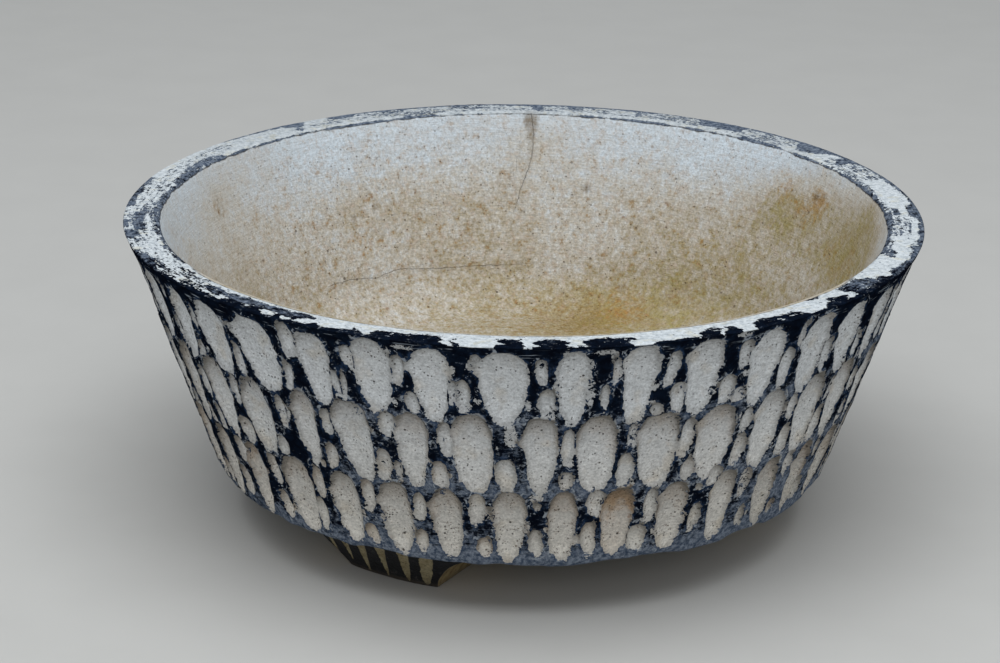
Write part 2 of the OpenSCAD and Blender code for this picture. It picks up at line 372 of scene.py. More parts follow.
class Ring:
    def __init__(self, r, z, kind, fine):
        self.r, self.z, self.kind, self.fine = float(r), float(z), kind, fine


def section():
    """The rings of the bowl, from the rim's outer edge down the outside, under the floor, up through
    the drain hole, over the floor and up the inside to the rim again. kind is the ring's patch of
    surface from it to the next ring; fine is the number of columns divided by NT."""
    rim_out, base = (RIM_EDGE, TOP), (BASE_R, BOTTOM)
    rim_in = (RIM_EDGE - WALL, TOP)
    toe = (BASE_R + SLOPE * (FLOOR - BOTTOM) - WALL, FLOOR)
    out_arc = corner(rim_in, rim_out, base, ROUND_OUT, 3)
    base_arc = corner(rim_out, base, (0, BOTTOM), BASE_ROUND, 6)
    cove_arc = corner((0, FLOOR), toe, rim_in, COVE, 18)
    in_arc = corner(toe, rim_in, rim_out, ROUND_IN, 5)
    rings = []
    step = 1.45
    for p in [out_arc[-1]] + between(out_arc[-1], base_arc[0], step):
        rings.append(Ring(*p, "outer", 1.0))
    for p in base_arc[:-1]:
        rings.append(Ring(*p, "outer", 1.0))
    edge = base_arc[-1]
    rings.append(Ring(*edge, "under", 1.0))
    rings.append(Ring(edge[0] - 2.5, BOTTOM, "under", 0.5))
    rings.append(Ring(edge[0] - 5.5, BOTTOM, "under", 0.25))
    for p in between((edge[0] - 5.5, BOTTOM), (DRAIN_R + 1.2, BOTTOM), 4.0):
        rings.append(Ring(*p, "under", 0.25 if p[0] > 60 else 0.125))
    rings.append(Ring(DRAIN_R + 1.2, BOTTOM, "under", 0.125))
    rings.append(Ring(DRAIN_R + 0.3, BOTTOM + 0.3, "drain", 0.125))
    rings.append(Ring(DRAIN_R, BOTTOM + 1.2, "drain", 0.125))
    for p in between((DRAIN_R, BOTTOM + 1.2), (DRAIN_R, FLOOR - 1.2), 2.5):
        rings.append(Ring(*p, "drain", 0.125))
    rings.append(Ring(DRAIN_R, FLOOR - 1.2, "drain", 0.125))
    rings.append(Ring(DRAIN_R + 0.3, FLOOR - 0.3, "drain", 0.125))
    rings.append(Ring(DRAIN_R + 1.2, FLOOR, "floor", 0.125))
    for p in between((DRAIN_R + 1.2, FLOOR), cove_arc[0], 3.2):
        rings.append(Ring(*p, "floor", 0.25 if p[0] > 60 else 0.125))
    rings.append(Ring(*cove_arc[0], "inner", 0.25))
    for p in cove_arc[1:]:
        rings.append(Ring(*p, "inner", 0.5))
    for p in between(cove_arc[-1], in_arc[0], 2.3):
        rings.append(Ring(*p, "inner", 0.5 if p[1] < TOP - 18 else 1.0))
    for p in in_arc:
        rings.append(Ring(*p, "rim", 1.0))
    for p in between(in_arc[-1], out_arc[0], 1.5):
        rings.append(Ring(*p, "rim", 1.0))
    for p in out_arc[:-1]:
        rings.append(Ring(*p, "rim", 1.0))
    return rings


# ------------------------------------------------------------------ paint of the rim
# Dark places in the white paint of the rim: degrees from-to, radii from-to, and how much of the black shows there.
DARK_RIM = [
    (-104, -94, 246.8, 251, .9), (-101, -86, 226, 230, .55), (-97, -88, 245.5, 251, .9), (-104, -86, 233, 245, .26),
    (-90, -84, 232, 239, .4), (-86.5, -77, 236.5, 242, .8), (-92, -74, 229, 231.5, .55), (-83.5, -80, 245.5, 251, .85),
    (-77.5, -74, 241, 250, .85), (-87, -71, 241, 251, .33), (-78, -60, 231, 250, .22), (-69, -61, 246.5, 251, .85),
    (-74, -60, 226, 230.5, .5), (-66, -60, 243, 247, .55), (-62, -49, 248.6, 251, 1), (-60, -50, 233, 249, .36),
    (-52.5, -44, 246.6, 251, 1), (-50.5, -45.8, 236.5, 243, .66), (-46, -30, 235, 241.8, .7), (-45.2, -40, 242, 251, .78),
    (-40.5, -36.8, 243.5, 251, 1), (-38.6, -37.2, 240.5, 246, .7), (-35.4, -34, 240, 251, .85), (-37, -20, 247.6, 251, 1),
    (-32, -31.2, 241, 251, .7), (-28.8, -27.2, 242.6, 251, .95), (-26.4, -20.8, 244.6, 251, 1), (-24, -23, 240.5, 246, .6),
    (-20.4, -9.8, 244.4, 251, 1), (-20.2, -10, 238.6, 245.4, .74), (-8.9, -8.2, 239.6, 251, .75), (-3.5, 0.3, 244, 251, 1),
    (-3.3, 0, 237.2, 245.4, .74), (-1, 2, 250, 251, 1), (1.4, 6.2, 244.6, 251, 1), (1.7, 5.9, 236.9, 246, .76),
    (6, 8.4, 249.4, 251, 1), (8.2, 15.4, 244, 251, 1), (8.4, 15.2, 238, 245.4, .74), (17.4, 24, 247.4, 251, 1),
    (23.5, 26.7, 241, 251, .9), (24.4, 26.6, 238.2, 243, .72), (27.1, 29, 238.4, 251, .92), (32.2, 36.8, 244.2, 251, 1),
    (33, 37.4, 239.4, 245.4, .7), (36.4, 41.8, 246, 251, 1), (37, 41.4, 240.2, 247, .6), (41.4, 48, 248.4, 251, 1),
    (44.4, 49.4, 243.2, 251, 1), (45.8, 49.4, 239.6, 245, .74), (43, 47, 230.2, 233.5, .6), (49, 53.5, 247, 251, 1),
    (51.8, 60.5, 245, 251, .92), (52, 58.6, 232, 247, .68), (58, 62.3, 241, 251, .9), (62, 66.5, 245, 251, 1),
    (66, 76, 246.8, 251, 1), (69.5, 72.5, 232.5, 236.8, .62), (70, 77, 229, 233, .45), (70, 92, 226, 230.4, .62),
    (73.5, 76, 244.2, 251, .75), (76, 90, 246.6, 251, .95), (79, 89, 232, 241, .36), (89, 95.5, 243, 251, 1),
    (89.5, 92.5, 232.5, 237, .8), (95, 118, 247.2, 251, 1), (92, 112, 228.5, 230.6, .45), (108, 121, 229, 248, .34),
    (116.5, 119.5, 232, 251, .78), (119, 124, 246.3, 251, 1), (123.6, 129.6, 234, 251, .95), (129, 141, 246.6, 251, .95),
    (134, 137, 231, 243, .48), (132, 141, 229, 231.5, .4), (141, 150.5, 237, 251, .88), (150, 157, 236, 251, .42),
    (157, 171, 246.4, 251, .9), (160, 161.5, 232, 247, .45), (170.3, 173.5, 239, 251, .6), (176.8, 178.8, 232, 251, .74),
    (171, 181, 246.4, 251, .9), (-181, -150, 246.6, 251, .9), (-173, -167.5, 238, 248, .45), (-167, -155, 233, 241, .34),
    (-157.5, -154.5, 239, 247, .5), (-151.5, -146, 243, 251, .7), (-146, -142, 234, 240, .36), (-141.7, -137.7, 239.5, 251, .85),
    (-140.5, -138, 232, 240, .42), (-138, -124, 247.4, 251, .6), (-118.5, -108, 229.5, 236, .62), (-124, -105, 236, 244, .26),
    (-110, -102, 228, 232, .75), (-181, -145, 234, 247, .27), (130, 181, 234, 247, .27), (-164, -158, 226, 232, .45)]


# Where a thin black line runs along the inner edge of the rim, and how much of it is there.
EDGE_LINE = [(-174, -160, .35), (-160, -60, .95), (66, 144, .8), (144, 170, .95), (170, 178, .3)]


def edge_line(az):
    t = np.radians(az)
    p = np.stack([228 * np.sin(t), -228 * np.cos(t), np.zeros(len(az))], -1)
    out = np.zeros(len(az))
    for a0, a1, level in EDGE_LINE:
        gap = np.minimum(angle_gap(az, a0), -angle_gap(az, a1))
        out = np.maximum(out, level * smooth(gap, -1.5, 2.0))
    return np.clip(out * (0.95 + 0.75 * noise3(p, 11, 91) + 0.5 * noise3(p, 4.5, 92)), 0, 1.15)


def rim_paint(az, r):
    """+ where the rim is still white, - where its black shows, about in mm from the edge of the paint."""
    t = np.radians(az)
    p = np.stack([240 * np.sin(t), -240 * np.cos(t), r * 1.6], -1)
    along_ = az + (4.5 * noise3(p, 13, 81) + 2.6 * noise3(p, 5.5, 82) + 1.2 * noise3(p, 2.8, 85)) / 4.2
    out_ = r + 1.2 * noise3(p, 14, 83) + 1.0 * noise3(p, 5, 84)
    field = np.full(len(az), 2.5)
    for a0, a1, r0, r1, level in DARK_RIM:
        half = (a1 - a0) / 2 * 4.2
        x = np.abs(angle_gap(along_, (a0 + a1) / 2)) * 4.2      # mm from the middle of the place, along the rim
        edge_out, edge_in = r1 > 250, r0 < 229
        wide = r1 - r0
        taper = np.clip((half - x) / min(half, 1.0 + 0.9 * wide, 6.5), 0, 1)
        taper = np.sqrt(taper * (2 - taper))                    # a rounded end instead of a square one
        mid = r1 if edge_out else r0 if edge_in else (r0 + r1) / 2
        reach = (wide if (edge_out or edge_in) else wide / 2) * taper
        y = np.abs(out_ - mid)
        if edge_out:
            y = np.where(out_ > mid, 0, y)
        if edge_in:
            y = np.where(out_ < mid, 0, y)
        away = np.where(x < half, y - reach, np.hypot(x - half, np.clip(y, 0, None)))
        field = np.minimum(field, np.maximum(away * 1.1, 2.5 - 5.0 * level))
    return np.clip(field, -3, 3)


# ------------------------------------------------------------------ stains and cracks of the inside
# Soft blobs on the inside: x, y, z, spread in mm, strength.
# How much a place is browner (+) or paler (-) than the wall around it.
STAINS = [(205, 74, 163, 20, 25), (185, 114, 162, 19, 24), (207, 44, 147, 24, 17), (170, 133, 161, 18, 17), (161, 130, 133, 30, 9),
          (116, 166, 121, 30, 10), (47, 157, 65, 22, 26), (222, 32, 181, 12, 20), (-16, 176, 71, 34, -3), (-133, 139, 90, 40, -14),
          (-86, 166, 81, 34, -16), (-113, 168, 120, 32, 13), (-152, 132, 117, 32, 6), (-204, 81, 168, 14, 16), (-208, 50, 156, 20, -4),
          (4, 220, 172, 13, 18), (-153, 154, 164, 40, -14), (-185, 128, 185, 30, 12), (72, 164, 66, 20, 8), (173, 97, 109, 26, 2),
          (150, -120, 140, 34, 16), (-120, -150, 130, 40, 12), (30, -200, 120, 40, 14), (190, -60, 150, 30, 18),
          (214, 28, 158, 22, 16), (222, 12, 178, 18, 19), (216, -14, 166, 24, 16), (216, 52, 178, 14, 10), (200, 96, 172, 12, 12),
          (178, 128, 168, 9, 10), (170, 145, 182, 18, -12), (187, 124, 186, 12, -10), (130, 176, 172, 30, -10),
          (54, 184, 92, 30, -9), (26, 194, 103, 26, -9), (-2, 184, 68, 20, -2), (-30, 194, 102, 18, 6),
          (-60, 40, 64, 50, -14), (60, -40, 64, 45, -10)]
# Small darker marks.
MARKS = [(-203, 84, 168, 7, .35), (-201, 84, 160, 6, .25), (4, 226, 189, 5, .75), (5, 223, 180, 4, .5), (4, 220, 172, 4, .35),
         (44, 206, 145, 3.2, .7), (197, 104, 172, 3.4, .9), (201, 97, 174, 2.4, .8), (190, 110, 168, 2.2, .6),
         (49, 157, 65, 9, .35), (69, 172, 83, 3.6, .7), (-30, 193, 117, 4, .4), (-104, 181, 137, 3.4, .55), (-72, 190, 129, 3.6, .5),
         (-118, 170, 131, 3, .6), (-97, 178, 127, 2.6, .5), (-54, 187, 107, 3, .4), (-141, 150, 112, 3, .45), (-35, 198, 120, 3.2, .45)]
RUSTY = [(-95, 180, 132, 46, 1), (-40, 192, 108, 40, 1), (-130, 150, 118, 44, .9), (-150, 120, 96, 50, .7),
         (0, 180, 88, 60, .8), (100, 165, 112, 60, .7), (-60, 140, 66, 60, .8), (60, 190, 130, 60, .6), (170, 110, 130, 60, .7),
         (0, -180, 120, 90, .8), (190, -60, 120, 60, .6), (-190, -60, 120, 60, .6)]
ORANGE = [(197, 97, 169, 9, .75), (176, 131, 170, 7, .65), (190, 112, 160, 9, .55), (206, 62, 142, 12, .45), (213, 28, 148, 10, .45),
          (72, 166, 64, 17, .65), (-40, 190, 112, 9, .5), (-62, 184, 116, 7, .5), (-112, 166, 116, 9, .4), (120, 158, 118, 14, .35),
          (-205, 80, 166, 7, .4)]
CRACK_DOWN = [(4, 231, 194), (4.5, 227.5, 193), (5.8, 223.6, 182), (6, 219, 168), (2.7, 215, 156), (-2.1, 210.3, 143),
              (-6.1, 206, 131), (-8.1, 202.4, 120)]
CRACK_ACROSS = [(-136.5, 135.9, 91.5), (-120.2, 150.9, 93), (-101.5, 162.9, 90.4), (-86.6, 172.8, 94), (-60.3, 182.6, 91.5),
                (-25.3, 190.8, 91.4), (-6.2, 192.5, 92), (20.6, 192, 93.4)]


def blobs(p, table):
    out = np.zeros(p.shape[:-1])
    for x, y, z, spread, strength in table:
        d2 = ((p - np.array([x, y, z])) ** 2).sum(-1)
        out = 1 - (1 - out) * (1 - strength * np.exp(-d2 / (2 * spread**2)))
    return out


def stained(p):
    """How brown the inside is: about -20 for the pale top, 20 for the wall, 45 and more for the floor and the moss."""
    z = p[..., 2]
    out = 46 - 29 / (1 + np.exp(-(z - 90) / 14)) - 33 / (1 + np.exp(-(z - 157) / 11))
    for x, y, zz, spread, strength in STAINS:
        d2 = ((p - np.array([x, y, zz])) ** 2).sum(-1)
        out = out + strength * np.exp(-d2 / (2 * spread**2))
    return out


def along(p, line, across):
    """Signed mm from a crack and how much of it is there. across tells the two sides apart."""
    best = np.full(p.shape[:-1], 1e9)
    side = np.zeros(p.shape[:-1])
    there = np.zeros(p.shape[:-1])
    pts = np.array(line, float)
    n = len(pts) - 1
    for k in range(n):
        a, b = pts[k], pts[k + 1]
        d = b - a
        t = ((p - a) @ d) / (d @ d)
        tc = np.clip(t, 0, 1)
        gap = p - (a + tc[..., None] * d)
        dist = np.sqrt((gap**2).sum(-1))
        near = dist < best
        best = np.where(near, dist, best)
        side = np.where(near, np.sign((gap @ np.cross(d, across(a, b)))), side)
        u = (k + tc) / n
        there = np.where(near, np.clip(np.minimum(u / 0.08, (1 - u) / 0.25), 0, 1), there)
    return np.clip(best, 0, 12) * side, there * (best < 9)


def outward(a, b):
    m = (a + b) / 2
    v = np.array([m[0], m[1], 0.0])
    return v / np.linalg.norm(v)


# ------------------------------------------------------------------ mesh helpers
def mesh_object(name, co, faces, uv=None, smooth_shade=True):
    me = bpy.data.meshes.new(name)
    me.from_pydata((np.asarray(co) * MM).tolist(), [], faces)
    me.validate()
    if smooth_shade:
        me.polygons.foreach_set("use_smooth", np.ones(len(me.polygons), bool))
    if uv is not None:
        layer = me.uv_layers.new(name="OFBake")
        layer.data.foreach_set("uv", np.asarray(uv, np.float32).ravel())
    me.update()
    ob = bpy.data.objects.new(name, me)
    bpy.context.scene.collection.objects.link(ob)
    return ob


def put(ob, name, values):
    a = ob.data.attributes.new(name, "FLOAT", "POINT")
    a.data.foreach_set("value", np.asarray(values, np.float32).ravel())


def put_vector(ob, name, values):
    a = ob.data.attributes.new(name, "FLOAT_VECTOR", "POINT")
    a.data.foreach_set("vector", np.asarray(values, np.float32).ravel())


# ------------------------------------------------------------------ the bowl
def build_bowl():
    rings = section()
    count = [max(8, round(NT * r.fine)) for r in rings]
    start = np.concatenate([[0], np.cumsum(count)])
    total = int(start[-1])
    co = np.zeros((total, 3))
    az_all = np.zeros(total)
    names = ("cut", "down", "depth", "top", "tone", "warm", "torn", "wear", "low", "paint", "skin",
             "stain", "marks", "rusty", "orange", "crack", "cracked", "raw")
    att = {k: np.zeros(total) for k in names}
    att["cut"][:] = -8
    att["paint"][:] = -3
    att["skin"][:] = -6

    # the outside is worked on one full grid
    outer = [i for i, r in enumerate(rings) if r.kind == "outer"] + [next(i for i, r in enumerate(rings) if r.kind == "under")]
    az = (AZ0 + 360.0 * np.arange(NT) / NT + 180) % 360 - 180
    run = np.zeros(len(outer))
    for k in range(1, len(outer)):
        a, b = rings[outer[k - 1]], rings[outer[k]]
        run[k] = run[k - 1] + math.hypot(a.r - b.r, a.z - b.z)
    s = run + 1.0
    field = carve(az, s)
    rad = np.radians(az)[:, None]
    R = np.array([rings[i].r for i in outer])[None, :]
    Z = np.array([rings[i].z for i in outer])[None, :]
    P = np.stack(np.broadcast_arrays(R * np.sin(rad), -R * np.cos(rad), Z), -1)
    S = np.broadcast_to(s[None, :], P.shape[:2])
    # the skin is lumpy by hand, and the wall pulls in a little under the rim
    lumps = 0.42 * fbm(P, 26, 31, 2) + 0.26 * fbm(P, 9, 33, 2) + 0.12 * noise3(P, 3.6, 35)
    pull = 1.15 * smooth(S, 3, 14) * (1 - smooth(S, 40, 70))
    inset = pull + (0.15 + lumps) * smooth(S, 0.5, 6) + 0.25 * (1 + noise3(P, 12, 39)) * (1 - smooth(S, 0, 6))
    rim_wob = 0.45 + 0.35 * fbm(P, 40, 41, 2)
    ridge = np.exp(-(((field.cut + 0.9) / 1.0) ** 2)) * (0.30 + 0.25 * noise3(P, 5, 42)) * smooth(S, 4, 9)
    inset = inset + field.depth - ridge + 0.2 * rim_wob * (1 - smooth(S, 0, 4))
    # chatter and grit where the tool went through
    open_ = smooth(field.cut, 0.0, 1.5)
    ring_p = P * np.array([0.35, 0.35, 2.2])
    inset = inset + open_ * (0.20 * fbm(ring_p, 4.0, 43, 2) + 0.12 * noise3(P, 2.6, 45))
    ragged = field.torn * (0.6 + 1.3 * fbm(P, 3.2, 47, 2))
    inset = inset + ragged
    inset = np.where(inset > 2.9, 2.9 + 1.2 * (1 - np.exp(-(inset - 2.9) / 1.2)), inset)   # stays clear of the steel
    nr, nz = -math.cos(LEAN), math.sin(LEAN)
    turn = smooth(S, SLANT - 3.5, SLANT + 4)                    # round the base edge the push turns upward
    pr, pz = nr * (1 - turn) - 0.35 * turn, nz * (1 - turn) + 0.94 * turn
    keep = 1 - smooth(S, s[-1] - 3.5, s[-1] - 0.3)
    rr = np.hypot(P[..., 0], P[..., 1]) + inset * pr * keep
    wave = 0.7 + 1.7 * noise3(P * np.array([1, 1, 0]), 26, 53) + 1.3 * noise3(P * np.array([1, 1, 0]), 11, 54)
    zz = P[..., 2] + inset * pz * keep + np.clip(wave, 0.05, None) * smooth(S, 146, 166)
    P2 = np.stack([rr * np.sin(rad), -rr * np.cos(rad), zz], -1)
    noise_low = fbm(P, 34, 51, 3)
    seams = np.exp(-((S - 55) / 7) ** 2) * 0.5 + np.exp(-((S - 108) / 8) ** 2) * 0.62
    grey_side = (np.clip(smooth(az, -36, -22) + smooth(-az, 80, 110), 0, 1))[:, None]    # the front left stays black
    wear = (-0.12 + grey_side * (0.30 * smooth(S, 30, 60) + seams) + (0.44 + 0.08 * grey_side) * smooth(S, 122, 148)
            + 0.55 * smooth(S, 148, 160) + 0.42 * noise_low)
    left_front = np.exp(-((az + 12) / 13.0) ** 2)[:, None]
    wear = wear + left_front * (0.60 * np.exp(-((S - 96) / 11) ** 2) + 0.35 * np.exp(-((S - 67) / 7) ** 2))
    wear = wear + 0.50 * np.exp(-((az + 40) / 9.0) ** 2)[:, None] * np.exp(-((S - 61) / 7) ** 2)
    wear = wear + 0.50 * np.exp(-((az - 48) / 12.0) ** 2)[:, None] * smooth(S, 112, 124) * (1 - smooth(S, 134, 148))
    down = smooth(S, 40, 165)
    # tone: lighter from the second row down and lighter still near the base except on the right, darker low on the
    # right, and painted shade under the rim
    light = (1.2 * smooth(S, 32, 50) + 5.5 * (1 - smooth(az, 28, 42))[:, None] * smooth(S, 144, 158)
             - 4.6 * (1 - smooth(S, 4, 22))
             - 3.2 * smooth(az, 34, 44)[:, None] * smooth(S, 110, 128))
    for k, i in enumerate(outer):
        sl = slice(start[i], start[i + 1])
        co[sl] = P2[:, k]
        az_all[sl] = az
        att["down"][sl] = s[k]
        for name, arr in (("cut", field.cut), ("depth", field.depth), ("top", field.top), ("tone", field.tone + light),
                          ("warm", field.warm), ("torn", field.torn), ("wear", np.clip(wear, 0, 1.4)), ("low", down)):
            att[name][sl] = arr[:, k]
        att["skin"][sl] = 6 * (1 - float(smooth(s[k], SLANT + 2.0, SLANT + 9.0))) - 1.0

    under_r = rings[outer[-1]].r

    def p_edge(turn_at):
        """The points of the lower edge, where the unevenness of the underside's first rings is read."""
        return np.stack([under_r * np.sin(turn_at), -under_r * np.cos(turn_at), np.zeros(len(turn_at))], -1)

    for i, ring in enumerate(rings):
        if i in outer:
            continue
        n = count[i]
        a = (AZ0 + 360.0 * np.arange(n) / n + 180) % 360 - 180
        ra = np.radians(a)
        p = np.stack([ring.r * np.sin(ra), -ring.r * np.cos(ra), np.full(n, ring.z)], -1)
        r, z = np.full(n, ring.r), np.full(n, ring.z)
        if ring.kind == "rim" or (ring.kind == "inner" and ring.z > TOP - 12):
            wob = 0.45 + 0.35 * fbm(p, 40, 41, 2)
            fade = float(smooth(ring.z, TOP - 12, TOP - 4))
            z = z - fade * (wob * 0.8 + 0.16 * (1 + noise3(p, 4.0, 61)))
        if ring.kind == "inner":
            lift = 0.5 * fbm(p, 60, 63, 2) + 0.12 * fbm(p * np.array([0.3, 0.3, 1.6]), 8, 65, 2)
            fade = 1 - float(smooth(ring.z, TOP - 10, TOP - 3))
            r = r + fade * lift
        if ring.kind == "floor":
            z = z + 0.5 * fbm(p, 50, 67, 3) * float(smooth(ring.r, DRAIN_R, DRAIN_R + 12))
        if ring.kind == "under":                                # the lower edge is uneven by hand
            lift = 0.7 + 1.7 * noise3(p_edge(ra), 26, 53) + 1.3 * noise3(p_edge(ra), 11, 54)
            z = z + np.clip(lift, 0.05, None) * (1 - float(smooth(under_r - ring.r, 0.0, 6.0)))
        if ring.kind == "drain":
            r = r + 0.25 * fbm(p, 7, 69, 2)
        q = np.stack([r * np.sin(ra), -r * np.cos(ra), z], -1)
        sl = slice(start[i], start[i + 1])
        co[sl] = q
        az_all[sl] = a
        if ring.kind == "rim":
            radius = np.full(n, ring.r)
            att["wear"][sl] = (-0.05 + 0.86 * smooth(np.abs(a), 46, 72) + 0.30 * smooth(np.abs(a), 100, 135)
                               + 0.15 * noise3(p, 30, 88)
                               + 0.80 * np.exp(-((a + 40) / 12.0) ** 2) * float(smooth(243.5 - ring.r, 0, 2))
                               + 0.55 * np.exp(-((a - 56) / 4.5) ** 2) * float(smooth(247 - ring.r, 0, 3)))
            att["cut"][sl] = -3.4
            inner_side = ring.r < 231
            depth_in = TOP - ring.z if inner_side else 0.0
            lined = edge_line(a)
            front = 1 - smooth(np.abs(a), 50, 62)               # at the front the stained plaster reaches over the edge
            paint = rim_paint(a, radius) - 4.5 * lined * float(smooth(depth_in, 0.3, 1.3))
            att["paint"][sl] = paint if ring.z > TOP - 3 else -3
            over_edge = front * (1 - float(smooth(ring.r, 230.9, 232.9)))
            att["skin"][sl] = (6.0 - 5.0 * depth_in + 4.5 * lined if inner_side else 6.0) - 12.0 * over_edge
        if ring.kind == "inner" and ring.z > TOP - 12:
            att["skin"][sl] = np.clip(6.0 - 5.0 * (TOP - ring.z) + 4.5 * edge_line(a), -6.0, 6.0)
        if ring.kind in ("under", "drain"):
            att["raw"][sl] = 1.0
        if ring.kind in ("inner", "floor", "rim"):
            att["stain"][sl] = stained(p)
            if ring.kind == "rim":
                att["stain"][sl] += 40.0 * (1 - smooth(np.abs(a), 50, 62))
            att["marks"][sl] = blobs(p, MARKS)
            att["rusty"][sl] = blobs(p, RUSTY)
            att["orange"][sl] = blobs(p, ORANGE)
            d1, m1 = along(p, CRACK_DOWN, outward)
            d2, m2 = along(p, CRACK_ACROSS, outward)
            use = np.abs(d1) * (m1 > 0) + 99 * (m1 <= 0) < np.abs(d2) * (m2 > 0) + 99 * (m2 <= 0)
            att["crack"][sl] = np.where(use, d1, d2)
            att["cracked"][sl] = np.where(use, m1, m2 * 0.75)

    # faces, ring to ring; where the columns halve, three triangles close each step
    faces, uvs, face_mat = [], [], []
    lengths = {}

    def patch_of(i):
        """0 outside, 1 rim, 2 inside, 3 the turn of the base, 4 underside and drain."""
        ring = rings[i]
        if ring.kind == "outer":
            return 0 if ring.r > base_arc_r else 3
        if ring.kind == "rim" or (ring.kind == "inner" and ring.z > TOP - 9):
            return 1
        if ring.kind in ("inner", "floor"):
            return 2
        return 3 if ring.r > 186 else 4

    base_arc_r = BASE_R + SLOPE * 6.5
    pos = []
    kinds = [r.kind for r in rings]
    n_r = len(rings)
    for i in range(n_r):                                       # distance along each patch, for the map
        if i == 0 or kinds[i] != kinds[i - 1]:
            here = 0.0
        else:
            a, b = rings[i - 1], rings[i]
            here += math.hypot(a.r - b.r, a.z - b.z)
        pos.append(here)
    for i in range(n_r):
        a, b = rings[i], rings[(i + 1) % n_r]
        lengths[kinds[i]] = pos[i] + math.hypot(a.r - b.r, a.z - b.z)
    ou, inn, rm, dr = (lengths[k] for k in ("outer", "inner", "rim", "drain"))
    gap, wide = 4.0, 790.0
    disc = 0.62
    y_out, y_in = 0.0, 2 * (ou + gap)
    y_disc = y_in + 2 * (inn + gap)
    r_under, r_floor = rings[[i for i in range(n_r) if kinds[i] == "under"][0]].r, rings[[i for i in range(n_r) if kinds[i] == "inner"][0]].r
    high = y_disc + 2 * r_under * disc
    x_floor = 2 * r_under * disc + gap
    x_rim = x_floor + 2 * r_floor * disc + gap
    rim_w = wide - x_rim - 3

    def strip(frac, mid, v, parts, x0, y0, width, tall):
        k = math.floor(mid * parts)
        return x0 + (frac * parts - k) * width, y0 + k * (tall + gap) + v

    def at(kind, frac, mid, v, r):
        if kind == "outer":
            x, y = strip(frac, mid, v, 2, 0, y_out, wide - 2, ou)
        elif kind == "inner":
            x, y = strip(frac, mid, v, 2, 0, y_in, wide - 2, inn)
        elif kind == "rim":
            x, y = strip(frac, mid, v, 5, x_rim, y_disc, rim_w, rm)
        elif kind == "drain":
            x, y = x_rim + frac * 80, y_disc + 5 * (rm + gap) + v
        else:
            t = 2 * math.pi * frac
            if kind == "under":
                cx, cy = r_under * disc, y_disc + r_under * disc
            else:
                cx, cy = x_floor + r_floor * disc, y_disc + r_floor * disc
            x, y = cx + r * disc * math.cos(t), cy + r * disc * math.sin(t)
        return (x + 1) / (wide + 2), (y + 1) / (high + 2)

    for i in range(n_r):
        j = (i + 1) % n_r
        na, nb = count[i], count[j]
        kind = kinds[i]
        ra_, rb_ = rings[i].r, rings[j].r
        va = pos[i]
        vb = va + math.hypot(rings[i].r - rings[j].r, rings[i].z - rings[j].z)
        A, B = int(start[i]), int(start[j])

        def corner_a(c, mid):
            return A + c % na, at(kind, c / na, mid, va, ra_)

        def corner_b(c, mid):
            return B + c % nb, at(kind, c / nb, mid, vb, rb_)

        if na == nb:
            for c in range(na):
                mid = (c + 0.5) / na
                cs = [corner_a(c, mid), corner_b(c, mid), corner_b(c + 1, mid), corner_a(c + 1, mid)]
                faces.append([v for v, _ in cs])
                uvs.extend(u for _, u in cs)
        elif na == 2 * nb:
            for c in range(nb):
                mid = (c + 0.5) / nb
                f0, f1, f2 = corner_a(2 * c, mid), corner_a(2 * c + 1, mid), corner_a(2 * c + 2, mid)
                c0, c1 = corner_b(c, mid), corner_b(c + 1, mid)
                for tri in ((f0, c0, f1), (f1, c0, c1), (f1, c1, f2)):
                    faces.append([v for v, _ in tri])
                    uvs.extend(u for _, u in tri)
        elif nb == 2 * na:
            for c in range(na):
                mid = (c + 0.5) / na
                f0, f1, f2 = corner_b(2 * c, mid), corner_b(2 * c + 1, mid), corner_b(2 * c + 2, mid)
                c0, c1 = corner_a(c, mid), corner_a(c + 1, mid)
                for tri in ((f0, f1, c0), (f1, c1, c0), (f1, f2, c1)):
                    faces.append([v for v, _ in tri])
                    uvs.extend(u for _, u in tri)
        else:
            raise ValueError(f"rings {i} and {j} don't fit: {na} and {nb}")
        face_mat.extend([patch_of(i)] * (len(faces) - len(face_mat)))
    ob = mesh_object("bowl", co, faces, uvs)
    for k, v in att.items():
        put(ob, k, v)
    # the place round the bowl and along its section, for marks that run round it
    path, total_path = np.zeros(total), 0.0
    for i, ring in enumerate(rings):
        if i:
            total_path += math.hypot(ring.r - rings[i - 1].r, ring.z - rings[i - 1].z)
        path[start[i]:start[i + 1]] = total_path
    turn_ = np.radians(az_all)
    put_vector(ob, "ring", np.stack([0.25 * np.sin(turn_), -0.25 * np.cos(turn_), path * MM], -1))
    ob.data.polygons.foreach_set("material_index", np.array(face_mat, np.int32))
    return ob


# ------------------------------------------------------------------ feet
SOLE_R, SOLE_IN, FOOT_TOP, ARCH_R, ARCH_X, HALF_TOP = 155.0, 95.0, 32.0, 50.0, 78.0, 61.35
FACE_TAN = math.tan(math.radians(33))


def half_width(z):
    return np.minimum(HALF_TOP, ARCH_X - np.sqrt(np.maximum(0, ARCH_R**2 - (z + 18.0) ** 2)))


def foot_point(a, b, c):
    """a from the back (0) to the face (1), b from one end (-1) to the other (1), c from the sole (0) to the top (1)."""
    z = c * FOOT_TOP
    y = b * half_width(z)
    reach = SOLE_R + z * FACE_TAN
    x = SOLE_IN + a * (np.sqrt(reach**2 - y**2) - SOLE_IN)
    return np.stack([x, y, z], -1)


